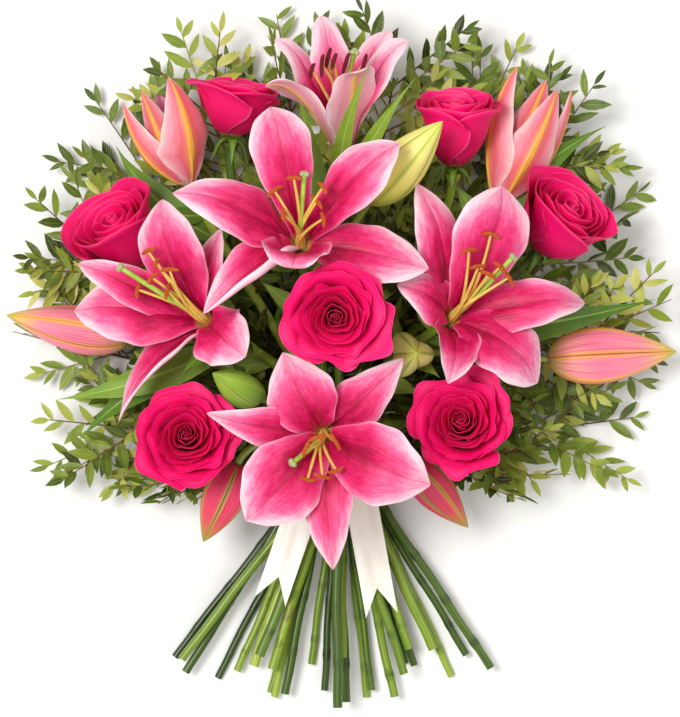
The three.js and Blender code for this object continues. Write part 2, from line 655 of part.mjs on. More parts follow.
// A spray: a stem that runs out to its tip, with feathered leaves that keep clear of the flowers.
function spraySolid(spray, index) {
  const reach = 50;
  const tip = vec(spray.tip);
  const flat = new THREE.Vector3(tip.x - tie[0], tip.y - tie[1], 0).normalize();
  const outward = flat.clone().setZ(spray.level === 1 ? 0.12 : -0.03).normalize();
  const curves = stemCurves(spray, 40 + index, tip.clone().addScaledVector(outward, -reach), outward);
  const points = [...stepsBelowTie, ...stepsAboveTie, 1].map((t, k) => curves[k < 3 ? 0 : 1].getPoint(t));
  const taper = (k) => mix(sprayStemRadius, 0.9, smooth((k - 3) / 4));
  let solid = rodSolid(points, points.map((_, k) => taper(k)), 3);
  for (const place of sprayLeaves.filter(({ raised }) => !raised || spray.level === 1)) {
    const along = curves[1].getTangent(place.at);
    const level = new THREE.Vector3(0, 0, 1).addScaledVector(along, -along.z).normalize();
    for (const roll of leafRolls) {
      const up = level.clone().applyAxisAngle(along, THREE.MathUtils.degToRad(roll));
      const turn = place.turn * (index % 2 ? 1 : -1);
      const direction = along.clone().applyAxisAngle(up, THREE.MathUtils.degToRad(turn));
      const leaf = featherLeaf({
        root: curves[1].getPoint(place.at), direction, up, bow: -0.08, leaflet: 22, halfWidth: 4.4,
        length: place.length, pairs: place.pairs,
      });
      if (isClear(leaf)) {
        solid = solid.add(leaf);
        break;
      }
    }
  }
  return mainBody(solid.trimByPlane([0, 0, 1], 0));
}

// The outline of the ribbon's band seen along the stems: flat below, round at the corners, domed above.
function bandOutline(inset) {
  const [half, corner, side] = [bandHalfWidth - inset, 8, 14];
  const outline = new THREE.Path();
  outline.moveTo(-half + corner, inset);
  outline.lineTo(half - corner, inset);
  outline.absarc(half - corner, corner + inset, corner, -Math.PI / 2, 0, false);
  outline.absellipse(0, side, half, bandHeight - side - inset, 0, Math.PI, false);
  outline.absarc(-half + corner, corner + inset, corner, Math.PI, 1.5 * Math.PI, false);
  return outline;
}

function ribbonBand() {
  const shape = new THREE.Shape(bandOutline(0).getPoints(3));
  shape.holes.push(new THREE.Path(bandOutline(ribbonThickness).getPoints(3)));
  const geometry = new THREE.ExtrudeGeometry(shape, { depth: ribbonWidth, bevelEnabled: false });
  geometry.rotateX(Math.PI / 2);
  geometry.translate(tie[0], tie[1] + ribbonWidth / 2, 0);
  return solidOf(geometry);
}

// The two ribbon tails, from under the knot to their notched ends.
const tails = [
  { root: [-13, -67], end: [-50, -174] },
  { root: [9, -67], end: [30, -184] },
];

// A tail: a flat strip with a notched end, which sinks towards the stems below the tie.
function ribbonTail(tail) {
  const run = new THREE.Vector2(tail.end[0] - tail.root[0], tail.end[1] - tail.root[1]);
  const [half, length, bends] = [tailWidth / 2, run.length(), 6];
  const outline = new THREE.Shape();
  outline.moveTo(0, -half);
  for (let k = 1; k <= bends; k += 1) outline.lineTo((length * k) / bends, -half);
  outline.lineTo(length * (1 - 1 / bends), 0);
  for (let k = bends; k >= 0; k -= 1) outline.lineTo((length * k) / bends, half);
  const strip = new THREE.ExtrudeGeometry(outline, { depth: ribbonThickness, bevelEnabled: false });
  const positions = strip.attributes.position;
  for (let i = 0; i < positions.count; i += 1) {
    const along = positions.getX(i) / length;
    const drop = tailDrop * along ** 1.6;
    positions.setZ(i, positions.getZ(i) + bandHeight + seatGap + 0.6 - drop);
  }
  strip.rotateZ(run.angle());
  strip.translate(tail.root[0], tail.root[1], 0);
  return solidOf(strip);
}

// The knot on the band, with both tails.
function ribbonTails() {
  const knot = new THREE.CylinderGeometry(9, 11, 5, 8);
  knot.rotateX(Math.PI / 2);
  knot.scale(1, 0.75, 1);
  knot.translate(tie[0], tie[1], bandHeight + seatGap + 2.5);
  return mainBody(fuse([solidOf(knot), ...tails.map(ribbonTail)]));
}

dealStems();
for (const lily of lilies) addNode(lily.name, lilyPetals(lily), colours.lilyPetal, 0.5);
for (const lily of lilies.filter(({ half }) => !half)) {
  addNode(`${lily.name}_stamens`, lilyStamens(lily), colours.stamen, 0.7);
}
for (const rose of roses) addNode(rose.name, roseBloom(rose), colours.rosePetal, 0.55);
for (const bud of buds) addNode(bud.name, budSolid(bud), bud.colour, 0.5);
addNode('ribbon_band', ribbonBand(), colours.ribbon, 0.35);
addNode('ribbon_tails', ribbonTails(), colours.ribbon, 0.35);
flowerStems.forEach((stem, k) => addNode(stem.name, flowerStem(stem, k), colours.stem, 0.6));
sprays.forEach((spray, k) => addNode(spray.name, spraySolid(spray, k), colours.leaf, 0.6));

// The origin is the middle of the footprint, on the surface that the bouquet lies on.
const footprint = new THREE.Box3().setFromObject(bouquet);
const middle = footprint.getCenter(new THREE.Vector3());
bouquet.position.set(-middle.x, -middle.y, -footprint.min.z);

export default bouquet;
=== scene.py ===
import math

import bpy
import numpy as np
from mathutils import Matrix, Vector
from mathutils.bvhtree import BVHTree


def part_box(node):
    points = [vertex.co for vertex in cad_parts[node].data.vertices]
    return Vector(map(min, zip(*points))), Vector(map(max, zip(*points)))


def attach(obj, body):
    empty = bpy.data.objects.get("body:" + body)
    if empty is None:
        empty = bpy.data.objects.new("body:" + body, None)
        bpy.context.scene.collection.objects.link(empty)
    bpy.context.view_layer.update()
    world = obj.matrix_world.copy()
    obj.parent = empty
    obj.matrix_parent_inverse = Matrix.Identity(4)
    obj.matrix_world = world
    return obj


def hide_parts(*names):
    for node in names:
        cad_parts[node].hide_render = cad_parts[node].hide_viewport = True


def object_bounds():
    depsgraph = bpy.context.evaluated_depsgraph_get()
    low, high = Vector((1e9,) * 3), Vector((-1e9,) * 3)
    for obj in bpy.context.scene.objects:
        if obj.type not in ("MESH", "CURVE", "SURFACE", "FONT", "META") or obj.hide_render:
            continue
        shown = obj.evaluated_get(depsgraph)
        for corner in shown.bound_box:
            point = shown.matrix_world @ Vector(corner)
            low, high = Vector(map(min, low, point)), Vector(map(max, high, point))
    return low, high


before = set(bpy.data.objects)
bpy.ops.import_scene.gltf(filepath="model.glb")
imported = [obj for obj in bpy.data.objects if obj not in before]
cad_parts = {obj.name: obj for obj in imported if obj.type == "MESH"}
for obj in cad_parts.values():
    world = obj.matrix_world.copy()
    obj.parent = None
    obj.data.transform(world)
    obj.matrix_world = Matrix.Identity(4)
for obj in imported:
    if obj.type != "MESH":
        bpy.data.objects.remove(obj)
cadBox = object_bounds()

# The source moved the whole bouquet to the middle of its footprint: the band tells by how much.
tie = np.array([-3.0, -70.0, 0.0])
bandLow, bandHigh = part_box("ribbon_band")
shift = (np.array(bandLow) + np.array(bandHigh)) * 500 * [1, 1, 0] - tie
boxLow, boxHigh = (np.array(corner) * 1000 - shift for corner in cadBox)

# The camera hangs straight over the bouquet, as the photograph was taken square on to its front.
cameraPlace = {"height": 2.4, "sharpHeight": 0.09, "metresPerPixel": 0.0007, "imageHeight": 717}
cameraData = bpy.data.cameras.new("camera")
cameraData.lens = (
    cameraData.sensor_width
    * (cameraPlace["height"] - cameraPlace["sharpHeight"])
    / (cameraPlace["imageHeight"] * cameraPlace["metresPerPixel"])
)
camera = bpy.data.objects.new("camera", cameraData)
camera.location = (shift[0] / 1000, shift[1] / 1000, cameraPlace["height"])
bpy.context.scene.collection.objects.link(camera)
bpy.context.scene.camera = camera


def unit(v):
    # v divided by its length, so that it is 1 long.
    return v / np.maximum(np.linalg.norm(v, axis=-1, keepdims=True), 1e-9)


def mix(a, b, t):
    # The point at a share t of the way from a to b: a + (b - a) t.
    return a + (b - a) * t


def smooth(t):
    # The smooth step 3t squared minus 2t cubed, with t held from 0 to 1.
    t = np.clip(t, 0, 1)
    return t * t * (3 - 2 * t)


def chance(seed):
    # A number from 0 to 1 that depends only on the seed, as in the part's source.
    raw = math.sin(seed * 12.9898 + 4.1414) * 43758.5453
    return raw - math.floor(raw)


def turned(v, axis, degrees):
    # v turned about an axis: v cos a + (axis x v) sin a + axis (axis . v)(1 - cos a).
    a = math.radians(degrees)
    axis = unit(np.asarray(axis, float))
    return v * math.cos(a) + np.cross(axis, v) * math.sin(a) + axis * np.dot(v, axis) * (1 - math.cos(a))


def bezier(points, t):
    # Points and directions of a Bezier curve, by mixing neighbours until two points are left.
    t = np.asarray(t, float)[..., None]
    level = [np.asarray(p, float) for p in points]
    while len(level) > 2:
        level = [mix(a, b, t) for a, b in zip(level, level[1:])]
    return mix(level[0], level[1], t), unit(level[1] - level[0])


def distanceAlong(path):
    # How far each point of a path is from its start: the sum of the steps up to it.
    return np.concatenate([[0], np.cumsum(np.linalg.norm(np.diff(path, axis=0), axis=1))])


def grid(cellsLong, cellsAcross):
    # u runs 0 to 1 from root to tip, s runs -1 to 1 from edge to edge.
    u = np.linspace(0, 1, cellsLong + 1)[:, None]
    s = np.linspace(-1, 1, cellsAcross + 1)[None, :]
    return np.broadcast_arrays(u, s)


def around(sides):
    # Equal angles that go once round, as one row.
    return np.linspace(0, 2 * np.pi, sides, endpoint=False)[None, :]


def frameAbout(axis):
    # Two directions square to an axis and to each other: the turn that carries +Z to the axis.
    axis = unit(np.asarray(axis, float))
    flip = np.cross([0, 0, 1], axis)
    if np.linalg.norm(flip) < 1e-6:
        return np.array([1.0, 0, 0]), np.array([0, 1.0, 0]), axis
    angle = math.degrees(math.acos(np.clip(axis[2], -1, 1)))
    return turned(np.array([1.0, 0, 0]), flip, angle), turned(np.array([0, 1.0, 0]), flip, angle), axis


def quadsOf(rows, columns, closed=False):
    # The four corners of each cell of a grid whose points are numbered row by row.
    i = np.arange(rows - 1)[:, None]
    k = np.arange(columns if closed else columns - 1)[None, :]
    after = (k + 1) % columns
    corners = [i * columns + k, (i + 1) * columns + k, (i + 1) * columns + after, i * columns + after]
    return np.stack([np.broadcast_to(c, (rows - 1, k.size)).ravel() for c in corners], axis=1)


def ringFaces(rows, sides):
    # The wall between rings of corners, and a flat end of quads at either side of it.
    wall = quadsOf(rows, sides, closed=True)[:, ::-1]
    k = np.arange(sides // 2 - 1)
    end = np.stack([k, k + 1, sides - 2 - k, sides - 1 - k], axis=1)
    return np.concatenate([wall, end[:, ::-1], end + sides * (rows - 1)])


def partOf(vertices, faces, place, tint=0.5, material=0):
    # A part as flat arrays. There may be a tint for each row of corners and a material for each face.
    tint = np.broadcast_to(np.asarray(tint, float), len(vertices))
    return {"vertices": vertices.reshape(-1, 3), "faces": faces, "place": place.reshape(-1, 3),
            "tint": np.repeat(tint, vertices[0].size // 3), "material": np.broadcast_to(material, len(faces))}


def blades(points, thickness, tint, material=0):
    # Thin closed blades from grids [blade, along, across, xyz]: a front and a back stand half a
    # thickness either side of each grid and share its border.
    count, rows, columns = points.shape[:3]
    normal = unit(np.cross(np.gradient(points, axis=1), np.gradient(points, axis=2)))
    inner = np.zeros((rows, columns), bool)
    inner[1:-1, 1:-1] = True
    lift = np.where(inner[..., None], thickness / 2, 0.0) * normal
    u, s = grid(rows - 1, columns - 1)
    frontPlace = np.stack([u, s, np.where(inner, 1.0, 0.0)], axis=-1).reshape(-1, 3)
    backPlace = np.stack([u[inner], s[inner], np.full(inner.sum(), -1.0)], axis=-1)
    vertices = np.concatenate([(points + lift).reshape(count, -1, 3), (points - lift)[:, inner]], axis=1)
    backNumber = np.arange(rows * columns).reshape(rows, columns)
    backNumber[inner] = rows * columns + np.arange(inner.sum())
    front = quadsOf(rows, columns)
    one = np.concatenate([front, backNumber.ravel()[front][:, ::-1]])
    faces = (one[None] + vertices.shape[1] * np.arange(count)[:, None, None]).reshape(-1, 4)
    place = np.tile(np.concatenate([frontPlace, backPlace]), (count, 1))
    return partOf(vertices, faces, place, tint, material)


def tube(path, radii, sides=10, tint=0.5, material=0, endMaterial=None):
    # A closed tube: rings about each point of a path, with a flat end at either side. Its place is
    # (cos, sin of the turn, distance along in tenths of a metre).
    path = np.asarray(path, float)
    radii = np.broadcast_to(np.asarray(radii, float), len(path))
    tangent = unit(np.gradient(path, axis=0))
    reference = np.linalg.svd(tangent)[2][-1]
    across = unit(reference - (tangent @ reference)[:, None] * tangent)
    third = np.cross(tangent, across)
    turn = around(sides).T
    ring = np.cos(turn) * across[:, None] + np.sin(turn) * third[:, None]
    vertices = path[:, None] + radii[:, None, None] * ring
    place = np.empty(vertices.shape)
    place[..., :2] = np.concatenate([np.cos(turn), np.sin(turn)], axis=1)
    place[..., 2] = distanceAlong(path)[:, None] / 100
    faces = ringFaces(len(path), sides)
    kinds = np.full(len(faces), material)
    if endMaterial is not None:
        kinds[sides * (len(path) - 1):][:sides // 2 - 1] = endMaterial
    return partOf(vertices, faces, place, tint, kinds)


def joined(parts):
    # Several parts as one, with their corners numbered on.
    starts = np.cumsum([0] + [len(p["vertices"]) for p in parts[:-1]])
    keys = ("vertices", "place", "tint", "material")
    whole = {key: np.concatenate([p[key] for p in parts]) for key in keys}
    whole["faces"] = np.concatenate([p["faces"] + start for p, start in zip(parts, starts)])
    return whole


skins = {}
sharpDegrees = 50


def makePiece(name, parts, skinNames, node=None):
    # A smooth mesh of parts that rides on the one body; no corner is below the floor.
    whole = joined(parts)
    whole["vertices"][:, 2] = np.maximum(whole["vertices"][:, 2], 0)
    mesh = bpy.data.meshes.new(name)
    mesh.from_pydata((whole["vertices"] + shift) / 1000, [], whole["faces"])
    mesh.attributes.new("place", "FLOAT_VECTOR", "POINT").data.foreach_set("vector", whole["place"].ravel())
    mesh.attributes.new("tint", "FLOAT", "POINT").data.foreach_set("value", whole["tint"])
    for skinName in skinNames:
        mesh.materials.append(skins[skinName])
    mesh.polygons.foreach_set("material_index", whole["material"])
    mesh.polygons.foreach_set("use_smooth", np.ones(len(mesh.polygons), bool))
    mesh.set_sharp_from_angle(angle=math.radians(sharpDegrees))
    mesh.update()
    piece = bpy.data.objects.new(name, mesh)
    bpy.context.scene.collection.objects.link(piece)
    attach(piece, "root")
    if node:
        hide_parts(node)
    return piece


def camel(nodeName):
    # lily_top as lilyTop.
    first, *rest = nodeName.split("_")
    return first + "".join(word.capitalize() for word in rest)


def linear(hexColour):
    # An sRGB hex colour as linear red, green, blue and alpha.
    values = [int(hexColour[i:i + 2], 16) / 255 for i in (1, 3, 5)]
    return [v / 12.92 if v <= 0.04045 else ((v + 0.055) / 1.055) ** 2.4 for v in values] + [1.0]


modeNames = {"Math": "operation", "VectorMath": "operation", "Mix": "data_type",
             "Attribute": "attribute_name", "TexNoise": "noise_dimensions", "TexWave": "bands_direction",
             "MapRange": "interpolation_type"}


def addNode(tree, kind, *values, named=None, stops=None):
    # Adds a node of a kind, which may name its mode after a space. Values go to the sockets in use, in
    # order, and named ones to sockets by name: each is a number, numbers, a hex colour, a node or an
    # output. Stops are a colour ramp's places and hex colours.
    kind, _, mode = kind.partition(" ")
    node = tree.nodes.new("ShaderNode" + kind)
    if mode:
        setattr(node, modeNames[kind], mode)
    sockets = [*zip([socket for socket in node.inputs if socket.enabled], values)]
    for socket, value in sockets + [(node.inputs[name], value) for name, value in (named or {}).items()]:
        if isinstance(value, bpy.types.Node):
            value = next(output for output in value.outputs if output.enabled)
        if isinstance(value, bpy.types.NodeSocket):
            tree.links.new(value, socket)
        else:
            socket.default_value = linear(value) if isinstance(value, str) else value
    for i, (position, colour) in enumerate((stops or {}).items()):
        element = node.color_ramp.elements[i] if i < 2 else node.color_ramp.elements.new(position)
        element.position = position
        element.color = linear(colour)
    return node


def newMaterial(look):
    # An empty material: what adds a node to it, and the two values that most patterns read.
    material = bpy.data.materials.new(look["name"])
    material.use_nodes = True
    material.node_tree.nodes.clear()
    skins[look["name"]] = material

    def add(kind, *values, **more):
        return addNode(material.node_tree, kind, *values, **more)

    return add, add("Attribute place").outputs["Vector"], add("Attribute tint").outputs["Fac"]


def addSurface(add, look, colour, height=None):
    # What every material ends with: a fine relief, where it has one, and a principled surface.
    sockets = {"Base Color": colour, **look["surface"]}
    if height is not None:
        strength, distance = look["relief"]
        sockets["Normal"] = add("Bump", named={"Strength": strength, "Distance": distance, "Height": height})
    add("OutputMaterial", add("BsdfPrincipled", named=sockets))


def lilyPetalMaterial(look):
    # Lily petal: a waxy living skin with a soft gloss. Magenta runs out from the throat along the veins
    # and fades in clouds to pale margins and tips; the back is paler, with a green-gold midrib.
    add, place, tint = newMaterial(look)
    along, across, side = add("SeparateXYZ", place).outputs
    edge = add("Math ABSOLUTE", across)
    seed = add("Math MULTIPLY", tint, 37.0)
    # Veins: noise stretched along the petal, 1 to 2 mm apart across it
    veins = add("TexNoise 4D", add("VectorMath MULTIPLY", place, (1.4, 17, 0)), seed, 1.0, 4.0)
    clouds = add("TexNoise 4D", add("VectorMath MULTIPLY", place, (7.0, 3.6, 0)), seed, 1.0, 8.0, 0.74)
    mottled = add("Math ADD", add("Math MULTIPLY_ADD", veins, 0.18, -0.09),
                  add("Math MULTIPLY_ADD", clouds, 1.1, -0.5))
    edgeShare = add("Math MULTIPLY", add("Math POWER", edge, 2.4),
                    add("MapRange", along, 0.1, 0.6, 0.35, 1.0))
    tipShare = add("MapRange SMOOTHSTEP", along, look["paleFrom"], 1.02)
    pale = add("Math MULTIPLY_ADD", edgeShare, look["paleEdge"], mottled)
    pale = add("Math MULTIPLY_ADD", tipShare, look["paleTip"], pale)
    # The midrib is a dark line that fades towards the tip, between two fine lines
    fine = add("Math COSINE", add("Math MULTIPLY", across, 46.0))
    fine = add("Math MULTIPLY", fine, add("MapRange", edge, 0.1, 0.42, 0.34, 0.0))
    fine.use_clamp = True
    lines = add("Math MAXIMUM", add("MapRange", edge, 0.02, 0.075, 1.0, 0.0), fine)
    # Spots: dots about 1.5 mm wide and 4 mm apart on the inner half of the front
    cells = add("TexVoronoi", add("TexCoord").outputs["Object"], 240.0)
    dots = add("Math MULTIPLY", add("MapRange", cells.outputs["Distance"], 0.14, 0.24, 1.0, 0.0),
               add("Math GREATER_THAN", cells.outputs["Color"], 0.45))
    dots = add("Math MULTIPLY", dots, add("MapRange", along, 0.38, 0.6, 0.85, 0.0))
    # The lines, a pale rim about 2 mm wide, a green-gold throat and the spots, laid on the front in turn
    front = add("ValToRGB", pale, stops=look["front"])
    for share, colour in (
        (add("Math MULTIPLY", lines, add("MapRange", along, 0.25, 0.95, 0.9, 0.2)), "rib"),
        (add("MapRange", edge, 0.9, 1.0, 0.0, 0.2), "rim"),
        (add("MapRange", along, 0.04, 0.16, 1.0, 0.0), "throat"),
        (add("Math MULTIPLY", dots, add("MapRange", edge, 0.6, 0.85, 1.0, 0.0)), "spot"),
    ):
        front = add("Mix RGBA", share, front, look[colour])
    besideRib = add("MapRange", edge, 0.08, 0.3, 0.0, 0.7)
    back = add("ValToRGB", add("Math MULTIPLY_ADD", mottled, besideRib, edge), stops=look["back"])
    addSurface(add, look, add("Mix RGBA", add("MapRange", side, -0.6, 0.1), back, front), veins)


lilyPetalLook = {
    "name": "lilyPetalSkin", "paleFrom": 0.42, "paleEdge": 0.62, "paleTip": 0.72,
    "front": {0: "#A4043E", 0.13: "#CC0A54", 0.3: "#E0286C", 0.52: "#E85A8E", 0.74: "#EE96B2", 1: "#F5CDD6"},
    "back": {0: "#D9AC3C", 0.07: "#E9BC62", 0.15: "#EE9DA6", 0.5: "#EF9FB2", 0.8: "#F6BDCA", 1: "#FCE0E4"},
    "rib": "#A20034", "rim": "#F9E2E7", "throat": "#C9CC62", "spot": "#8C0A32", "relief": (0.6, 0.0008),
    "surface": {"Roughness": 0.42, "IOR": 1.4, "Subsurface Weight": 0.15,
                "Subsurface Radius": (1.0, 0.35, 0.45), "Subsurface Scale": 0.002},
}
lilyPetalMaterial(lilyPetalLook)
lilyPetalMaterial({
    **lilyPetalLook, "name": "lilyPetalPale", "paleFrom": 0.24, "paleEdge": 0.66, "paleTip": 1.0,
})
lilyPetalMaterial({
    **lilyPetalLook, "name": "openingBudSkin", "surface": {**lilyPetalLook["surface"], "Roughness": 0.4},
    "back": {0: "#E89C2C", 0.05: "#F0BC4C", 0.11: "#EA8260", 0.28: "#E46470", 0.6: "#F08A98", 0.85: "#F6B2B6",
             1: "#FAD2C6"},
})


def addSides(add, look, side, shade):
    # The look's front and back colours by a shade, and the share in which the front shows.
    ramps = [add("ValToRGB", shade, stops=look[way]) for way in ("front", "back")]
    return *ramps, add("MapRange", side, -0.5, 0.2)


def rosePetalMaterial(look):
    # Rose petal: a velvet of tiny cells, matt with a faint sheen. Painted shade darkens its front towards the
    # foot, deep in the bloom, and a painted highlight lightens its rim.
    add, place, tint = newMaterial(look)
    along, across, side = add("SeparateXYZ", place).outputs
    veins = add("TexNoise 4D", add("VectorMath MULTIPLY", place, (1.5, 16, 0)),
                add("Math MULTIPLY", tint, 9.0), 1.0, 3.0)
    # The distance along the petal with a little vein tone; on the front the ramp turns it into painted shade
    # towards the foot.
    height = add("Math ADD", add("Math MULTIPLY_ADD", veins, 0.12, -0.06), along)
    front, back, isFront = addSides(add, look, side, height)
    colour = add("Mix RGBA", isFront, back, front)
    # A painted highlight: a light line at the rim, about 1.5 mm wide, where the rolled edge catches the light
    rim = [add("MapRange", way, 0.955, 0.995) for way in (along, add("Math ABSOLUTE", across))]
    rim = add("Math MULTIPLY", add("Math MAXIMUM", *rim), look["rimHighlightShare"])
    addSurface(add, look, add("Mix RGBA", rim, colour, look["rim"]), veins)


rosePetalMaterial({
    # The rim colour is a painted highlight on the rolled petal edges.
    "name": "rosePetalVelvet", "rim": "#FF6A9C", "rimHighlightShare": 0.4, "relief": (0.35, 0.0005),
    # The front runs from near black at the foot, painted shade deep in the bloom, to bright magenta at the
    # rim.
    "front": {0: "#480018", 0.35: "#980036", 0.66: "#D80058", 1: "#F40C72"},
    "back": {0: "#8E8A3A", 0.06: "#A80A40", 0.3: "#DC005A", 1: "#F6086E"},
    "surface": {"Roughness": 0.55, "IOR": 1.36, "Subsurface Weight": 0.12,
                "Subsurface Radius": (1.0, 0.1, 0.2), "Subsurface Scale": 0.0015,
                "Sheen Weight": 0.08, "Sheen Roughness": 0.35, "Sheen Tint": "#FF6F9F"},
})


def leafMaterial(look):
    # Evergreen leaf: a leathery skin with a soft gloss, a light midrib, fine veins and a paler back. Its tone
    # follows the tint, which on the shoots also carries painted shade.
    add, place, tint = newMaterial(look)
    along, across, side = add("SeparateXYZ", place).outputs
    edge = add("Math ABSOLUTE", across)
    patches = add("TexNoise", add("TexCoord").outputs["Object"], 90.0, 3.0)
    shade = add("Math ADD", add("Math MULTIPLY_ADD", patches, 0.35, -0.17), tint)
    front, back, isFront = addSides(add, look, side, shade)
    front = add("Mix RGBA", add("MapRange", edge, 0.02, 0.13, look["ribShare"], 0.0), front, look["rib"])
    veins = add("Math MULTIPLY_ADD", edge, look["veinSlant"], along)
    veins = add("Math SINE", add("Math MULTIPLY", veins, look["veinCount"] * math.tau))
    addSurface(add, look, add("Mix RGBA", isFront, back, front), veins)


# The leaflets' dark brown low end is reached both by random tone and by the painted shade on shoots near the
# tie, inside the bouquet.
leafletLook = {
    "name": "lentiskLeaf", "ribShare": 0.45, "veinSlant": -0.35, "veinCount": 7, "rib": "#A4B070",
    "front": {0: "#362A12", 0.14: "#343C10", 0.32: "#5A6E1C", 0.58: "#869830", 0.82: "#B2B84C", 1: "#D6CE7C"},
    "back": {0: "#7C804A", 0.6: "#A6A85E", 1: "#CEC986"}, "relief": (0.3, 0.0004),
    "surface": {"Roughness": 0.36, "IOR": 1.45, "Subsurface Weight": 0.1,
                "Subsurface Radius": (0.4, 1.0, 0.2), "Subsurface Scale": 0.0015},
}
leafMaterial(leafletLook)
leafMaterial({
    **leafletLook, "name": "lilyLeaf", "ribShare": 0.6, "veinSlant": 9.0, "veinCount": 1, "rib": "#B4CC6C",
    "front": {0: "#38580E", 0.4: "#5C841A", 0.75: "#8AA834", 1: "#B8C85C"},
    "back": {0: "#6C8C48", 0.6: "#8FA961", 1: "#BCC98B"},
    "surface": {**leafletLook["surface"], "Roughness": 0.32},
})


def stemMaterial(look):
    # Cut flower stem: smooth green bark, streaked along its length, darker rings at its nodes.
    add, place, tint = newMaterial(look)
    streaks = add("TexNoise 4D", add("VectorMath MULTIPLY", place, (2.2, 2.2, 0.9)),
                  add("Math MULTIPLY", tint, 11.0), 1.6, 4.0)
    shade = add("Math ADD", add("Math MULTIPLY_ADD", streaks, 0.7, -0.35), tint)
    scars = add("TexNoise", add("TexCoord").outputs["Object"], 45.0, 5.0)
    scars = add("MapRange", scars, 0.66, 0.74, 0.0, 0.7)
    addSurface(add, look, add("Mix RGBA", scars, add("ValToRGB", shade, stops=look["colours"]), look["scar"]),
               streaks)


stemLook = {
    "name": "stemBark", "scar": "#6A5428", "relief": (0.4, 0.0004),
    "colours": {0.05: "#223208", 0.28: "#44600C", 0.52: "#789420", 0.76: "#A6BA42", 1: "#C8D074"},
    "surface": {"Roughness": 0.34, "IOR": 1.45, "Coat Weight": 0.35, "Coat Roughness": 0.34,
                "Subsurface Weight": 0.08, "Subsurface Radius": (0.5, 1.0, 0.25), "Subsurface Scale": 0.002},
}
stemMaterial(stemLook)
stemMaterial({
    **stemLook, "name": "twigBark", "scar": "#3F2A1A",
    "colours": {0: "#46281A", 0.35: "#70462C", 0.65: "#7E6C34", 1: "#98A050"},
    "surface": {**stemLook["surface"], "Roughness": 0.55, "Coat Weight": 0.0},
})


def budMaterial(look):
    # Closed lily bud: waxy outer petals with dark streaks, a gold band with a fine dark line along each
    # midrib, and a dark crease between green-gold margins at each seam. Its place is (distance along, cos
    # of three times the turn, sin of three times the turn).
    add, place, tint = newMaterial(look)
    along, lobe, _ = add("SeparateXYZ", place).outputs
    streaks = add("TexNoise 4D", add("VectorMath MULTIPLY", place, (1.0, 9.0, 9.0)),
                  add("Math MULTIPLY", tint, 9.0), 1.0, 4.0)
    tone = add("Math ADD", add("Math MULTIPLY_ADD", streaks, 0.5, -0.25), along)
    creases = add("Math MAXIMUM", add("MapRange", lobe, -0.995, -0.965, 1.0, 0.0),
                  add("MapRange", lobe, 0.985, 0.998, 0.0, 0.7))
    skin = add("ValToRGB", tone, stops=look["skin"])
    for share, colour in (
        (add("MapRange", streaks, 0.5, 0.68, 0.0, look["streakShare"]), "streak"),
        (add("MapRange", lobe, 0.88, 0.98, 0.0, 0.9), "band"),
        (add("MapRange", lobe, -0.96, -0.82, 0.75, 0.0), "margin"),
        (creases, "crease"),
    ):
        skin = add("Mix RGBA", share, skin, look[colour])
    addSurface(add, look, skin, streaks)


pinkBudLook = {
    "name": "budSkinPink", "band": "#F2B036", "margin": "#F0A83C", "crease": "#A85430", "streak": "#D0436A",
    "streakShare": 0.85, "relief": (0.6, 0.0008),
    "skin": {0: "#C9C86A", 0.1: "#F59E8E", 0.35: "#F67E9A", 0.7: "#FA96A2", 0.86: "#F4C874", 0.97: "#BCD034"},
    "surface": {"Roughness": 0.4, "IOR": 1.42, "Subsurface Weight": 0.12,
                "Subsurface Radius": (1.0, 0.5, 0.4), "Subsurface Scale": 0.002},
}
budMaterial(pinkBudLook)
for look in (
    {"name": "budSkinRed", "band": "#C8A040", "margin": "#A8B044", "crease": "#6A3C20", "streak": "#C01840",
     "streakShare": 1.0,
     "skin": {0: "#CC2C56", 0.35: "#EA3E6C", 0.68: "#E64C60", 0.88: "#C89044", 1: "#90AC38"}},
    {"name": "budSkinGreen", "band": "#C2C84C", "margin": "#D8D878", "crease": "#7E9230", "streak": "#C6CC58",
     "skin": {0: "#B0C848", 0.3: "#EEE66C", 0.7: "#FDF090", 0.92: "#ECEA74", 1: "#C4D648"}},
    {"name": "budSkinLime", "band": "#A9C64A", "margin": "#B4CC58", "crease": "#5E8420", "streak": "#6E9A2A",
     "skin": {0: "#6E9A2C", 0.4: "#8DB83C", 0.8: "#A6C94A", 1: "#88A83A"}},
    {"name": "budSkinStar", "band": "#A4C43C", "margin": "#E4E070", "crease": "#7E9E34", "streak": "#F49C8C",
     "skin": {0: "#B0CC44", 0.35: "#EEF07C", 0.7: "#FAF89C", 0.9: "#E8F070", 1: "#BCDC40"}},
):
    budMaterial({**pinkBudLook, "streakShare": 0.5, **look})


def grainMaterial(look):
    # Stamen parts and cut stem ends: a fine grain, powdery on an anther and wet and pale on a cut end.
    add, _, _ = newMaterial(look)
    grain = add("TexNoise", add("TexCoord").outputs["Object"], look["grainPerMetre"], look["detail"])
    addSurface(add, look, add("ValToRGB", grain, stops=look["colours"]), grain if "relief" in look else None)


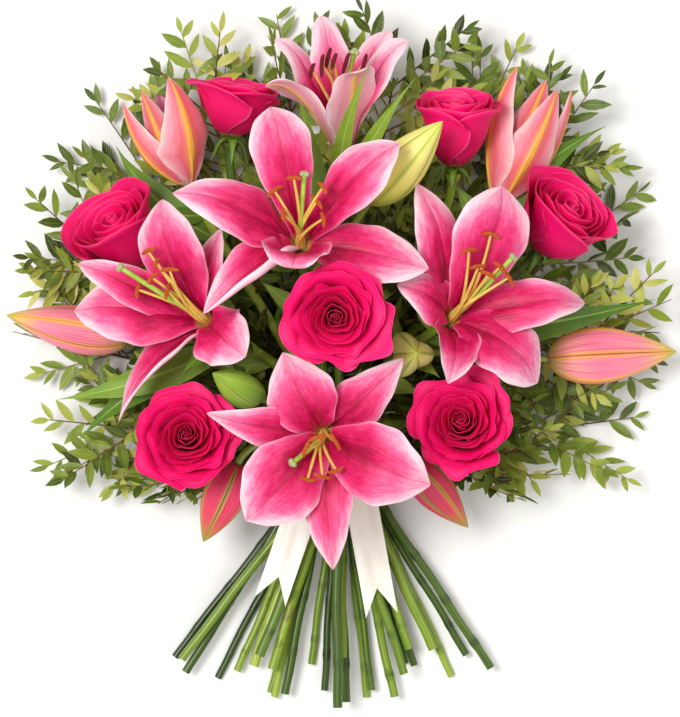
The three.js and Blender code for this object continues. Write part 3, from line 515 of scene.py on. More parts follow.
for name, grainPerMetre, relief, roughness, colours in (
    ("filament", 120.0, 0.1, 0.35, {0.3: "#E0A84E", 0.6: "#DFC45C", 0.8: "#E9DC8E"}),
    ("antherPollen", 1800.0, 0.9, 0.9, {0.3: "#862A0C", 0.5: "#B84A18", 0.7: "#DC8234"}),
    ("antherPollenDark", 1800.0, 0.9, 0.9, {0.3: "#3E0A14", 0.5: "#6A1220", 0.7: "#8E2A2A"}),
    ("style", 150.0, 0.1, 0.35, {0.3: "#8FB234", 0.7: "#B7CC55"}),
    ("stigma", 1500.0, 0.6, 0.5, {0.3: "#8E9A5C", 0.6: "#B4BC86", 0.8: "#D2D2AC"}),
):
    grainMaterial({"name": name, "grainPerMetre": grainPerMetre, "detail": 3.0, "relief": (relief, 0.0004),
                   "surface": {"Roughness": roughness, "IOR": 1.4}, "colours": colours})
grainMaterial({"name": "stemPith", "grainPerMetre": 900.0, "detail": 2.0,
               "surface": {"Roughness": 0.6, "IOR": 1.4},
               "colours": {0.3: "#8FA353", 0.55: "#C3CF93", 0.8: "#E3E5C3"}})


def satinMaterial(look):
    # Satin ribbon: long floats of thread give a sheen along the ribbon. The real threads are 0.15 mm
    # apart; here they are 0.3 mm apart so that they show.
    add, place, _ = newMaterial(look)
    threads = add("TexWave Y", place, look["threadsAcross"], 0.6, 1.0)
    cloud = add("TexNoise", add("TexCoord").outputs["Object"], 40.0, 2.0)
    addSurface(add, look, add("ValToRGB", cloud, stops=look["colours"]), threads.outputs["Fac"])


satinMaterial({"name": "creamSatin", "threadsAcross": 12.0, "relief": (0.12, 0.0002),
               "colours": {0.3: "#F8F0E2", 0.5: "#FCF6EA", 0.7: "#FFFBF2"},
               "surface": {"Roughness": 0.38, "IOR": 1.5, "Sheen Weight": 0.4, "Sheen Roughness": 0.3}})
print("materials made")

# The lilies, where the part's source has them: where the petals join, the way the flower looks, and
# each petal's tip.
innerPetal = {"width": 60, "throat": 26, "belly": 5, "arch": 12, "shoulder": 0.62, "channel": 0.4,
              "cup": -0.1, "wave": 3, "outer": False, "twist": 0, "curl": (0, 0), "curlFrom": 0.35,
              "ruffle": 1.5, "blunt": 3.0, "point": 0.95, "hook": 4, "hip": 0, "spreads": 0.55}
outerPetal = {**innerPetal, "width": 44, "arch": 8, "belly": 9, "channel": 0.15, "outer": True}
budPetal = {**innerPetal, "width": 46, "throat": 14, "belly": 20, "arch": -40, "shoulder": 0.7,
            "channel": 0, "cup": 0, "wave": 0, "ruffle": 0.3, "curl": (70, 70), "curlFrom": 0, "hip": 20,
            "hook": 1, "blunt": 2.5, "point": 0.85, "spreads": 0.5}
petalDetail = {"cellsLong": 34, "cellsAcross": 22, "thickness": 0.5, "groove": 1.2, "pillow": 0.075,
               "ruffles": 2.9, "footShare": 0.1, "tipWidth": 0.15}

lilies = {
    "lily_top": {
        "base": [2, 141, 84], "axis": [-0.03, 0.84, 0.54], "pistil": [10, 210, 132],
        "skin": "lilyPetalPale", "pollen": "antherPollenDark", "anther": 14, "antherWay": [0.05, 0.95, 0.2],
        "anthers": [[-19, 198, 128], [-12, 201, 134], [-4, 204, 136], [4, 203, 132], [-8, 207, 126],
                    [16, 202, 134]],
        "petals": [
            {"tip": [-46, 225, 108], "width": 38, "throat": 30, "belly": 10, "arch": 2, "blunt": 2.4},
            {"tip": [-14, 243, 94], "outer": True, "width": 40, "throat": 34, "arch": 0, "blunt": 2.2},
            {"tip": [36, 233, 92], "width": 40, "throat": 34, "belly": 10, "arch": 0, "blunt": 2.6},
            {"tip": [49, 222, 114], "outer": True, "width": 36, "throat": 30, "arch": 4, "curl": (20, 20),
             "twist": 22, "blunt": 2.6},
            {"tip": [14, 199, 148], "width": 50, "throat": 24, "belly": 15, "arch": 2, "curl": (30, 30)},
            {"tip": [-52, 188, 134], "outer": True, "width": 42, "throat": 24, "arch": 6, "curl": (30, 30),
             "twist": 70, "hook": 2, "blunt": 2.3},
        ],
    },
    "lily_centre": {
        "base": [-27, 75, 128], "axis": [-0.02, 0.42, 0.91], "pistil": [-24, 124, 168],
        "anthers": [[-44, 113, 166], [-38, 97, 172], [-31, 121, 176], [-12, 115, 172], [-16, 106, 166],
                    [-12, 94, 168]],
        "petals": [
            {"tip": [-48, 176, 160], "width": 56, "arch": 10, "blunt": 4.4, "hook": 7, "spreads": 0.85},
            {"tip": [-116, 116, 168], "outer": True, "width": 52, "arch": 10, "hook": 8, "blunt": 2.6,
             "ruffle": 2.4},
            {"tip": [41, 147, 166], "outer": True, "width": 51, "arch": 10, "hook": 2, "ruffle": 2.6,
             "blunt": 4, "spreads": 0.75},
            {"tip": [60, 64, 156], "width": 46, "arch": -2, "throat": 16, "belly": 9, "blunt": 6, "hook": 6},
            {"tip": [-94, 31, 162], "width": 50, "arch": 12, "curl": (0, 165), "curlFrom": 0.2},
            {"tip": [-32, 64, 185], "outer": True, "width": 56, "throat": 20, "arch": 4, "shoulder": 0.9,
             "curl": (60, 60), "curlFrom": 0.25, "ruffle": 3.2, "blunt": 6, "hook": 8},
        ],
    },
    "lily_left": {
        "base": [-89, 24, 96], "axis": [-0.45, 0.27, 0.85], "pistil": [-150, 62, 138],
        "anthers": [[-131, 73, 142], [-125, 65, 146], [-128, 55, 140], [-138, 47, 134], [-116, 60, 150],
                    [-118, 46, 138]],
        "petals": [
            {"tip": [-124, 112, 132], "width": 62, "ruffle": 2.6, "blunt": 3.0, "spreads": 0.7},
            {"tip": [-84, 92, 116], "outer": True, "width": 31, "arch": 2},
            {"tip": [-184, 67, 120], "outer": True, "width": 36, "arch": 14, "ruffle": 3, "hook": 4,
             "blunt": 2.3},
            {"tip": [-188, 34, 104], "width": 58, "ruffle": 2.4, "blunt": 3.4},
            {"tip": [-157, -43, 114], "outer": True, "width": 40, "arch": 14, "twist": 25, "curl": (0, 120)},
            {"tip": [-67, 2, 142], "width": 45, "throat": 22, "arch": 4, "ruffle": 3.4, "blunt": 6,
             "hook": 7},
        ],
    },
    "lily_right": {
        "base": [73, 25, 96], "axis": [0.4, 0.3, 0.87], "pistil": [118, 69, 138],
        "anthers": [[88, 73, 146], [103, 84, 142], [101, 57, 144], [109, 62, 140], [115, 55, 134],
                    [94, 62, 150]],
        "petals": [
            {"tip": [113, 121, 134], "width": 66, "blunt": 4.4, "spreads": 0.75},
            {"tip": [54, 123, 124], "outer": True, "width": 43, "blunt": 4},
            {"tip": [178, 42, 108], "outer": True, "width": 45, "ruffle": 3, "hook": 12, "blunt": 2.6},
            {"tip": [143, -17, 116], "width": 52, "ruffle": 2, "blunt": 6, "hook": 9},
            {"tip": [75, -17, 152], "outer": True, "width": 48, "throat": 22, "arch": 6, "curl": (70, 70),
             "ruffle": 3},
            {"tip": [40, 52, 140], "width": 45, "throat": 24, "arch": 4},
        ],
    },
    "lily_bottom": {
        "base": [-11, -50, 104], "axis": [-0.05, -0.2, 0.98], "pistil": [-32, -71, 144],
        "anthers": [[-23, -62, 148], [-16, -54, 152], [-3, -57, 150], [-22, -82, 140], [-12, -80, 146],
                    [-3, -76, 142]],
        "petals": [
            {"tip": [-40, 5, 146], "width": 64, "spreads": 0.7, "ruffle": 2.2},
            {"tip": [44, 0, 140], "outer": True, "width": 42, "ruffle": 2},
            {"tip": [63, -88, 146], "width": 66, "blunt": 4, "spreads": 0.65, "ruffle": 2.4},
            {"tip": [-5, -149, 124], "outer": True, "width": 43, "hook": 7, "blunt": 2.8},
            {"tip": [-66, -113, 140], "width": 66, "blunt": 4, "spreads": 0.65, "ruffle": 2.4},
            {"tip": [-92, -39, 144], "outer": True, "width": 37, "arch": 2, "twist": -12, "blunt": 2.6},
        ],
    },
    "opening_bud_left": {
        "base": [-105, 121, 58], "axis": [-0.4, 0.91, 0.1], "half": True,
        "petals": [
            {"tip": [-121, 198, 78], "toward": [0.45, 0, 1], "width": 60, "curl": (62, 62), "hip": 22},
            {"tip": [-153, 181, 62], "toward": [-0.85, 0, 0.6], "width": 48},
            {"tip": [-140, 189, 62], "toward": [-0.3, 0, 0.95], "width": 50, "hip": 17},
            {"tip": [-131, 190, 44], "toward": [0.1, 0, -1], "width": 60},
        ],
    },
    "opening_bud_right": {
        "base": [113, 108, 54], "axis": [0.33, 0.93, 0.14], "half": True,
        "petals": [
            {"tip": [126, 206, 66], "toward": [-1, 0, 0.6], "width": 52, "hip": 25, "belly": 22},
            {"tip": [153, 190, 74], "toward": [0.25, 0, 1], "width": 52, "curl": (56, 56)},
            {"tip": [163, 191, 62], "toward": [1, 0, 0.1], "width": 48},
            {"tip": [146, 197, 64], "toward": [-0.1, 0, 1], "width": 58, "hip": 17},
            {"tip": [146, 196, 38], "toward": [-0.1, 0, -1], "width": 62},
        ],
    },
}
receptacle = {"height": 7, "depth": 4}
seatGap = 0.35


def placed(heads):
    # The heads with their places as arrays and their axes as unit vectors; a bud's runs to its tip.
    for head in heads.values():
        head["base"] = np.array(head["base"], float)
        axis = head["axis"] if "axis" in head else head["tip"] - head["base"]
        head["axis"] = unit(np.array(axis, float))
    return heads


def tepal(lily, petal):
    # The middle surface of a lily petal: a midrib that leaves the throat along the flower's axis and
    # arches to its tip, and a blade across it. The blade is a channel at the throat, is pillowed either
    # side of a groove, waves and ruffles at its edges, and may curl at an edge or twist along its length.
    axis = lily["axis"]
    base = lily["base"] + axis * (-2 if petal["outer"] else 2.5)
    span = np.array(petal["tip"], float) - base
    rise = span @ axis
    away = span - axis * rise
    out = np.array(petal.get("toward", away), float)
    out = unit(out - axis * (out @ axis))
    side = np.cross(axis, out)
    rib = [
        base + out * (3.4 if petal["outer"] else 2.4),
        base + axis * petal["throat"] + out * petal["belly"],
        base + axis * (rise + petal["arch"]) + away * petal["shoulder"] + out * petal["hip"],
        base + span,
    ]
    u, s = grid(petalDetail["cellsLong"], petalDetail["cellsAcross"])
    point, tangent = bezier(rib, u)
    flatNormal = unit(np.cross(tangent, side))
    twist = np.radians(petal["twist"]) * smooth((u - 0.15) / 0.85)
    across = side * np.cos(twist)[..., None] + flatNormal * np.sin(twist)[..., None]
    normal = flatNormal * np.cos(twist)[..., None] - side * np.sin(twist)[..., None]
    far = np.abs(s)
    waver = 2 * np.pi * (petalDetail["ruffles"] * u + 2.7 * petal["phase"]) + 2 * s
    half = petal["width"] / 2 * mix(petalDetail["footShare"], 1, smooth(u / petal["spreads"]))
    half = half * (1 - u ** petal["blunt"]) ** petal["point"] + petalDetail["tipWidth"]
    half = half * (1 + 0.025 * np.sin(1.7 * waver + 3) * smooth(u / 0.3))
    # The turn of the blade at each place across, added up outwards from the midrib
    curl = np.where(s < 0, petal["curl"][0], petal["curl"][1])
    turn = np.radians(curl) * np.clip((far - petal["curlFrom"]) / (1 - petal["curlFrom"]), 0, 1)
    turn = turn * smooth(u / 0.35)
    step = 1 / petalDetail["cellsAcross"]
    middle = petalDetail["cellsAcross"] // 2

    def summed(rate):
        total = np.cumsum((rate[:, 1:] + rate[:, :-1]) * step, axis=1)
        total = np.concatenate([np.zeros_like(total[:, :1]), total], axis=1)
        return total - total[:, middle:middle + 1]

    wide = half * summed(np.cos(turn))
    curled = half * summed(np.sin(turn) * np.sign(s))
    fold = mix(petal["channel"], petal["cup"], smooth(u / 0.6)) * half * s * s
    wave = petal["wave"] * np.sin(2 * np.pi * (1.4 * u + petal["phase"]) + s) * s * s
    wave = wave * smooth(u / 0.4) * (1 - u)
    ruffle = petal["ruffle"] * np.sin(waver) * far**3 * smooth(u / 0.3) * (1 - u) ** 0.5
    groove = petalDetail["groove"] * np.exp(-((s / 0.11) ** 2)) * smooth(u / 0.15) * (1 - 0.7 * u)
    pillow = petalDetail["pillow"] * half * 4 * far * (1 - far) * smooth(u / 0.3) * (1 - u) ** 0.3
    hook = petal["hook"] * smooth((u - 0.62) / 0.38) ** 1.5
    lift = fold + wave + ruffle - groove + pillow + curled - hook
    return point + wide[..., None] * across + lift[..., None] * normal


def receptacleTube(lily):
    # The green foot of a flower, from its stem to where its petals join.
    heights = np.array([-receptacle["depth"], -2, 1, 4, receptacle["height"] - 0.5])
    path = lily["base"] + heights[:, None] * lily["axis"]
    return tube(path, [3.4, 4.6, 5.4, 4.8, 3.6], sides=12, tint=0.6, material=1)


def lilyParts(index, lily):
    # All petals of a flower, each on its own phase of the ruffle, and the flower's foot.
    model = budPetal if lily.get("half") else innerPetal
    grids, tints = [], []
    for k, petal in enumerate(lily["petals"]):
        form = outerPetal if petal.get("outer") else model
        grids.append(tepal(lily, {**form, "phase": 0.31 * k + 0.17 * index, **petal}))
        tints.append(chance(10 * index + k))
    return [blades(np.array(grids), petalDetail["thickness"], tints), receptacleTube(lily)]


stamenForm = {"filamentRadius": 0.9, "antherLength": 12.5, "antherWidth": 3.0, "antherBend": 0.5,
              "footRadius": 1.5, "firstTurn": 28.65, "bowShares": (0.35, 0.6), "ringRadius": 2.2,
              "pistilRadii": (2.1, 1.7), "lobes": 3, "lobeLength": 2.0, "lobeRadius": 2.1}


def antherTube(centre, along, away, length):
    # A sausage bent like a bow.
    at = np.linspace(-1, 1, 15)
    width = stamenForm["antherWidth"]
    bow = (stamenForm["antherBend"] * width * at**2)[:, None] * away
    path = centre + (at * length / 2)[:, None] * along - bow
    return tube(path, width / 2 * np.maximum(1 - np.abs(at) ** 3.5, 0.04) ** 0.5, material=1)


def stamenParts(index, lily):
    # Six filaments that bow out from the throat, a bent anther across each end, and a thicker pistil
    # that ends in a knob of three lobes.
    axis = lily["axis"]
    start = lily["base"] + axis * (receptacle["height"] + seatGap)
    sideways = unit(np.cross([1, 0, 0], axis))
    parts = [tube(start + np.array([[0], [1.2], [2.5]]) * axis, [3.6, 3.4, 2.6], sides=12)]
    steps = np.linspace(0, 1, 16)
    for k, end in enumerate(np.array(lily["anthers"], float)):
        out = turned(sideways, axis, 60 * k + stamenForm["firstTurn"])
        bow = axis * np.linalg.norm(end - start) * mix(*stamenForm["bowShares"], chance(90 * index + k))
        foot = start + axis * 1.2 + out * stamenForm["ringRadius"]
        path, direction = bezier([foot, start + bow + out * 3, end], steps)
        radii = mix(stamenForm["footRadius"], stamenForm["filamentRadius"], steps)
        parts.append(tube(path, radii, sides=8, tint=chance(index + k)))
        across = unit(np.cross(direction[-1], [chance(index + 3 * k) - 0.5, chance(k) - 0.5, 0.8]))
        length = lily.get("anther", stamenForm["antherLength"]) * (0.85 + 0.35 * chance(33 * index + k))
        if "antherWay" in lily:
            across = unit(np.array(lily["antherWay"]) + 0.3 * across)
        parts.append(antherTube(path[-1] + direction[-1] * 1.2, across, direction[-1], length))
    end = np.array(lily["pistil"], float)
    middle = start + axis * np.linalg.norm(end - start) * 0.5
    path, direction = bezier([start + axis * 1.2, middle, end], steps)
    parts.append(tube(path, mix(*stamenForm["pistilRadii"], steps), sides=12, material=2))
    reach = np.linspace(-1, 1, 9)
    for k in range(stamenForm["lobes"]):
        lobe = turned(unit(np.cross(direction[-1], out)), direction[-1], 360 / stamenForm["lobes"] * k)
        centre = path[-1] + direction[-1] * 0.9 + lobe * 1.6
        parts.append(tube(centre + (reach * stamenForm["lobeLength"])[:, None] * direction[-1],
                          stamenForm["lobeRadius"] * np.maximum(1 - reach**2, 0.03) ** 0.5, material=3))
    return parts


bloomParts = []
for index, (name, lily) in enumerate(placed(lilies).items()):
    parts = lilyParts(index, lily)
    skin = "openingBudSkin" if lily.get("half") else lily.get("skin", "lilyPetalSkin")
    makePiece(camel(name) + "Petals", parts, [skin, "stemBark"], name)
    bloomParts += parts
    if not lily.get("half"):
        parts = stamenParts(index, lily)
        pollen = lily.get("pollen", "antherPollen")
        makePiece(camel(name) + "Stamens", parts, ["filament", pollen, "style", "stigma"],
                  name + "_stamens")
        bloomParts += parts
print("lilies made")

goldenDegrees = 137.5

# A rose's girth, height and openness are shares of the full bloom; those at the rim are less open.
fullRose = {"petals": 32, "girth": 1.0, "tall": 1.0, "open": 1.0, "dome": 8, "wrap": 62, "waver": 1.0}
roses = {
    "rose_left": {"base": [-139, 68, 60], "axis": [-0.5, 0.68, 0.53], "turn": 10, "girth": 1.1, "tall": 1.38,
                  "open": 0.4, "dome": -6, "wrap": 92, "petals": 18, "waver": 0.6},
    "rose_top_left": {"base": [-77, 157, 64], "axis": [0.14, 0.97, 0.18], "turn": 70, "girth": 0.98,
                      "tall": 1.16, "open": 0.7, "dome": -8, "wrap": 92, "petals": 15, "waver": 0.7},
    "rose_top_right": {"base": [80, 135, 78], "axis": [0.02, 0.95, 0.32], "turn": 150, "girth": 0.93,
                       "tall": 1.38, "open": 0.5, "dome": -4, "wrap": 90, "petals": 18, "waver": 0.7},
    "rose_right": {"base": [141, 78, 62], "axis": [0.5, 0.64, 0.58], "turn": 232, "girth": 1.1, "tall": 1.36,
                   "open": 0.45, "dome": -5, "wrap": 88, "petals": 21, "waver": 0.8},
    "rose_centre": {"base": [-3, 31, 129], "axis": [0.0, -0.08, 1], "turn": 30},
    "rose_lower_left": {"base": [-107, -58, 84], "axis": [0.02, 0.14, 0.99], "turn": 45, "open": 0.9},
    "rose_lower_right": {"base": [86, -50, 90], "axis": [-0.08, 0.2, 0.98], "turn": 110, "open": 0.9},
}
roseForm = {"heartRadius": 1.3, "outerRadius": 28.5, "outerHeight": 38, "heartSpread": 125,
            "heartLap": 0.9, "outerLap": 3.4, "heartRoll": 0.5, "outerRoll": 10.0, "point": 0.5,
            "waver": 1.4, "thickness": 0.45, "cellsLong": 16, "cellsAcross": 18, "wanderDegrees": 30}


def roseBloom(rose):
    # Petals from the heart outwards, each turned on by the golden angle. A petal stands on the base, bellies
    # out to its own radius and rolls its rim outwards, further for the outer petals and furthest at its
    # point, and one of its edges tucks in while the other laps over its neighbour.
    count = rose["petals"]
    q = np.linspace(0, 1, count)[:, None, None]
    u, s = grid(roseForm["cellsLong"], roseForm["cellsAcross"])
    draws = np.array([[chance(rose["turn"] + 7 * k + j) - 0.5 for k in range(count)] for j in range(4)])
    wander, pitch, size, skew = draws[:, :, None, None]
    turn = goldenDegrees * np.arange(count)[:, None, None] + rose["turn"]
    turn = turn + roseForm["wanderDegrees"] * wander
    spread = mix(roseForm["heartSpread"], rose["wrap"], smooth(q * 1.3)) * (1 + 0.25 * size)
    spread = spread * (0.6 + 0.4 * smooth(u / 0.6)) * (1 - 0.16 * smooth((u - 0.75) / 0.25) * q)
    angle = np.radians(turn + spread * s)
    radius = mix(roseForm["heartRadius"], roseForm["outerRadius"], q**1.05)
    belly = 0.26 + 0.74 * np.sin(np.pi / 2 * u**0.75)
    closing = 1 - 0.8 * np.clip(1 - q / 0.35, 0, 1) ** 0.8 * u * u
    lap = mix(roseForm["heartLap"], roseForm["outerLap"], q) * s * smooth(u / 0.5)
    roll = mix(roseForm["heartRoll"], roseForm["outerRoll"] * rose["open"], q**1.25)
    roll = roll * smooth((u - 0.58) / 0.42) ** 1.5
    point = 1 + roseForm["point"] * np.exp(-(((s - 0.5 * skew) / 0.25) ** 2)) * q - 0.3 * q * s * s
    waver = rose["waver"] * roseForm["waver"] * (0.25 + 0.75 * q) * np.sin(6.5 * s + 12 * wander)
    waver = waver * smooth((u - 0.4) / 0.6)
    waver = waver + 0.2 * roseForm["waver"] * np.sin(15 * s + 20 * pitch) * smooth((u - 0.75) / 0.25)
    distance = radius * belly * closing + roll * point + lap + waver + 1.6 * pitch * q * u
    height = roseForm["outerHeight"] + rose["dome"] * (1 - q**1.6) + 5 * pitch * (0.3 + 0.7 * q)
    corners = (3 + 6 * q) * np.abs(s) ** 3.5 * u
    curlDown = 0.62 * roll * point * smooth((u - 0.7) / 0.3)
    rise = 1 + height * u - corners - curlDown
    reach = np.array([rose["girth"], rose["girth"], rose["tall"]])
    local = np.stack([distance * np.cos(angle), distance * np.sin(angle), rise], axis=-1) * reach
    return rose["base"] + local @ np.array(frameAbout(rose["axis"]))


for index, (name, rose) in enumerate(placed(roses).items()):
    rose = {**fullRose, **rose}
    tints = [chance(100 + 40 * index + k) for k in range(rose["petals"])]
    parts = [blades(roseBloom(rose), roseForm["thickness"], tints)]
    makePiece(camel(name) + "Petals", parts, ["rosePetalVelvet"], name)
    bloomParts += parts
print("roses made")

buds = {
    "bud_left": {"base": [-150, 15, 48], "tip": [-238.6, 31, 40], "radius": 18},
    "bud_right": {"base": [148, 0, 50], "tip": [240.6, 5, 42], "radius": 21},
    "bud_lower_left": {"base": [-72, -74, 72], "tip": [-97, -130, 58], "radius": 16, "skin": "budSkinRed"},
    "bud_lower_right": {"base": [50, -72, 72], "tip": [91, -120, 56], "radius": 15, "skin": "budSkinRed"},
    "bud_upper": {"base": [22, 109, 106], "tip": [70, 162, 146], "radius": 17.5,
                  "skin": "budSkinGreen"},
    "bud_green": {"base": [-56, -28, 86], "tip": [-88, -10, 122], "radius": 13, "skin": "budSkinLime"},
    "bud_small": {"base": [46, 2, 80], "tip": [53, 4, 126], "radius": 15, "skin": "budSkinStar",
                  "lobe": 0.2},
}
budForm = {"steps": 44, "sides": 48, "lobe": 0.08, "ribHeight": 0.035, "seamDepth": 0.05}


def budBloom(index, bud):
    # A long drop: the radius follows the profile of the part's source times three lobes, with a raised
    # midrib on each lobe and a crease at each seam.
    span = bud["tip"] - bud["base"]
    across, third, axis = frameAbout(span)
    u = np.linspace(0, 1, budForm["steps"] + 1)[:, None]
    turn = around(budForm["sides"])
    profile = np.sin(np.pi * np.clip(u, 0, 1) ** 0.82).clip(0) ** 0.8 * (1 - 0.25 * u) + 0.2 * (1 - u) ** 3
    lobes = np.cos(3 * turn)
    relief = 1 + bud.get("lobe", budForm["lobe"]) * lobes
    relief = relief + budForm["ribHeight"] * np.exp(-(((1 - lobes) / 0.05) ** 2))
    relief = relief - budForm["seamDepth"] * np.exp(-(((1 + lobes) / 0.06) ** 2)) * smooth((1 - u) / 0.2)
    radius = np.maximum(bud["radius"] * profile, 0.25) * relief
    vertices = (bud["base"] + (u * np.linalg.norm(span))[..., None] * axis
                + (radius * np.cos(turn))[..., None] * across + (radius * np.sin(turn))[..., None] * third)
    place = np.stack(np.broadcast_arrays(u, lobes, np.sin(3 * turn)), axis=-1)
    return partOf(vertices, ringFaces(len(u), budForm["sides"]), place, chance(60 + index))


budParts = []
for index, (name, bud) in enumerate(placed(buds).items()):
    parts = [budBloom(index, bud)]
    skin = bud.get("skin", "budSkinPink")
    makePiece(camel(name), parts, [skin], name)
    bloomParts += parts
    budParts += parts
print("buds made")

heads = {**lilies, **roses, **buds}

# The stems, dealt into the tie level on level as in the part's source.
stemSizes = {"rose": 3.1, "lily": 3.5, "spray": 2.7, "gap": 0.2, "belowTie": 180, "fanDegrees": 34,
             "fanLean": -2, "fanWobble": 3, "throughTie": 12}
ribbonForm = {"width": 18, "thickness": 1.2, "halfWidth": 25.6, "height": 43, "corner": 8, "side": 14,
              "tailWidth": 23, "tailDrop": 9, "stepsRound": 160, "rows": 24, "pleat": 0.9}

flowerStems = [
    {"name": "stem_rose_left", "level": 2, "heads": ["rose_left"]},
    {"name": "stem_opening_left", "level": 2, "heads": ["opening_bud_left"], "leaves": [[-160, 152, 44]]},
    {"name": "stem_rose_top_left", "level": 2, "heads": ["rose_top_left"]},
    {"name": "stem_lily_top", "level": 2, "heads": ["lily_top", "bud_upper"],
     "leaves": [[21, 202, 150], [52, 194, 118]], "leafWidth": 14},
    {"name": "stem_rose_top_right", "level": 2, "heads": ["rose_top_right"]},
    {"name": "stem_opening_right", "level": 2, "heads": ["opening_bud_right"], "leaves": [[190, 166, 44]]},
    {"name": "stem_rose_right", "level": 2, "heads": ["rose_right"]},
    {"name": "stem_rose_lower_left", "level": 3, "heads": ["rose_lower_left"]},
    {"name": "stem_lily_left", "level": 3, "heads": ["lily_left", "bud_left", "bud_green"],
     "leaves": [[-200, -29, 62], [-186, -58, 46]]},
    {"name": "stem_lily_right", "level": 3, "heads": ["lily_right", "bud_right", "bud_small"],
     "leaves": [[224, 42, 58]]},
    {"name": "stem_rose_lower_right", "level": 3, "heads": ["rose_lower_right"]},
    {"name": "stem_lily_centre", "level": 4, "heads": ["lily_centre"], "leaves": [[-30, 190, 60]]},
    {"name": "stem_rose_centre", "level": 4, "heads": ["rose_centre"]},
    {"name": "stem_lily_bottom", "level": 5, "heads": ["lily_bottom", "bud_lower_left", "bud_lower_right"]},
]
sprayTips = [
    [-150, -88, 5], [-202, -44, 26], [-233, 30, 2], [-212, 108, 38], [-172, 180, 5], [-112, 226, 36],
    [-44, 242, 2], [46, 250, 44], [124, 218, 5], [178, 190, 38], [208, 118, 2], [230, 40, 36],
    [206, -44, 2], [150, -88, 24],
]
sprays = [{"name": f"spray_{k + 1:02d}", "level": k % 2, "tip": tip} for k, tip in enumerate(sprayTips)]


def targetOf(stem):
    # Where a stem goes: its spray's tip or its first head.
    return np.array(stem["tip"], float) if "tip" in stem else heads[stem["heads"][0]]["base"]


def stemRadius(stem):
    # The radius by the kind of stem.
    if "tip" in stem:
        return stemSizes["spray"]
    return stemSizes["rose"] if stem["heads"][0].startswith("rose") else stemSizes["lily"]


def dealStems():
    # Fills the tie level by level, each level from left to right as its stems' heads stand round the tie.
    floor = ribbonForm["thickness"] + stemSizes["gap"]
    for level in range(6):
        row = [stem for stem in sprays + flowerStems if stem["level"] == level]
        row.sort(key=lambda stem: math.atan2(*(targetOf(stem) - tie)[:2]))
        thickest = max(stemRadius(stem) for stem in row)
        x = -sum(2 * stemRadius(stem) + stemSizes["gap"] for stem in row) / 2
        for k, stem in enumerate(row):
            half = stemRadius(stem) + stemSizes["gap"] / 2
            stem["place"] = np.array([tie[0] + x + half, tie[1], floor + thickest])
            between = 2 / 3 * (level % 3 - 1)
            stem["share"] = (2 * k + 1 + between) / len(row) - 1 if len(row) > 1 else 0.1
            x += 2 * half
        floor += 2 * thickest + stemSizes["gap"]


def stemCurves(stem, seed, end, arrival):
    # From the cut end to the tie, then from the tie to the head along the head's own axis.
    wobble = stemSizes["fanWobble"] * (chance(seed) - 0.5)
    angle = math.radians(stemSizes["fanDegrees"] * stem["share"] + stemSizes["fanLean"] + wobble)
    length = stemSizes["belowTie"] * (1 - 0.2 * chance(seed + 7) ** 2)
    cut = stem["place"] + length * np.array([math.sin(angle), -math.cos(angle), 0])
    cut[2] -= (ribbonForm["thickness"] + stemSizes["gap"] + 0.05) * length / stemSizes["belowTie"]
    through = np.array([0.0, stemSizes["throughTie"], 0])
    entry, leave = stem["place"] - through, stem["place"] + through
    gap = np.linalg.norm(end - stem["place"])
    below = [cut, mix(cut, entry, 0.5), entry - 0.7 * through, entry]
    above = [leave, leave + through * gap * 0.02, end - arrival * gap * 0.26, end]
    return below, above


stemDetail = {"stepsBelow": 46, "stepsAbove": 60, "stepsBranch": 26, "sides": 14, "nodes": 12,
              "nodeSpacing": 38, "nodeSwell": 0.15, "nodeWidth": 1.7, "nodeShade": 0.14, "bend": 0.5,
              "branchShares": (0.75, 0.7), "roseFlare": 3.0, "flareFrom": 9, "flareOver": 8}


def stemPath(below, above, seed):
    # The whole way of a stem, with a small bend at each node below the tie.
    first, _ = bezier(below, np.linspace(0, 1, stemDetail["stepsBelow"]))
    second, _ = bezier(above, np.linspace(0, 1, stemDetail["stepsAbove"]))
    path = np.concatenate([first, second])
    distance = distanceAlong(path)
    knots = stemDetail["nodeSpacing"] * (np.arange(stemDetail["nodes"]) + 0.4 + 0.5 * chance(seed + 3))
    free = smooth(distance / 20) * smooth((first.shape[0] - 6 - np.arange(len(path))) / 8)
    sway = np.sin(distance / stemDetail["nodeSpacing"] * np.pi + 6 * chance(seed + 5)) * free
    path = path + (stemDetail["bend"] * sway)[:, None] * np.array([1.0, 0.2, 0])
    bump = np.exp(-(((distance[:, None] - knots) / stemDetail["nodeWidth"]) ** 2)).sum(axis=1)
    return path, distance, bump


def lilyLeaf(root, tip, width, bend=0.0):
    # A long plain leaf that arches and bends sideways from its stem to its tip, a shallow channel across.
    root, tip = np.asarray(root, float), np.asarray(tip, float)
    span = tip - root
    side = unit(np.cross([0, 0, 1], span))
    lift = unit(np.cross(span, side))
    length = np.linalg.norm(span)
    u, s = grid(18, 8)
    point, _ = bezier([root, root + 0.5 * span + lift * length * 0.16 + side * length * bend, tip], u)
    half = width / 2 * (0.22 + 0.78 * np.sin(np.pi * np.minimum(1, u * 1.04) ** 0.9)) * (1 - u**3) + 0.1
    bow = 0.3 * half * s * s + 0.8 * np.sin(5 * np.pi * u + s) * s * s * np.sin(np.pi * u)
    return point + (s * half)[..., None] * side + bow[..., None] * lift


def treeOf(parts):
    # A search tree of parts, which gives the nearest face to a point.
    whole = joined(parts)
    return BVHTree.FromPolygons(whole["vertices"].tolist(), whole["faces"].tolist())


boxMargin = 0.3


def clearPoints(tree, points, gap, margin=boxMargin):
    # Which points keep a gap from everything in a tree and a margin from the sides of the box.
    inBox = ((points > boxLow + margin) & (points < boxHigh - margin)).all(axis=-1)
    near = [tree.find_nearest(Vector(p), gap)[0] is not None for p in points]
    return inBox & ~np.array(near)


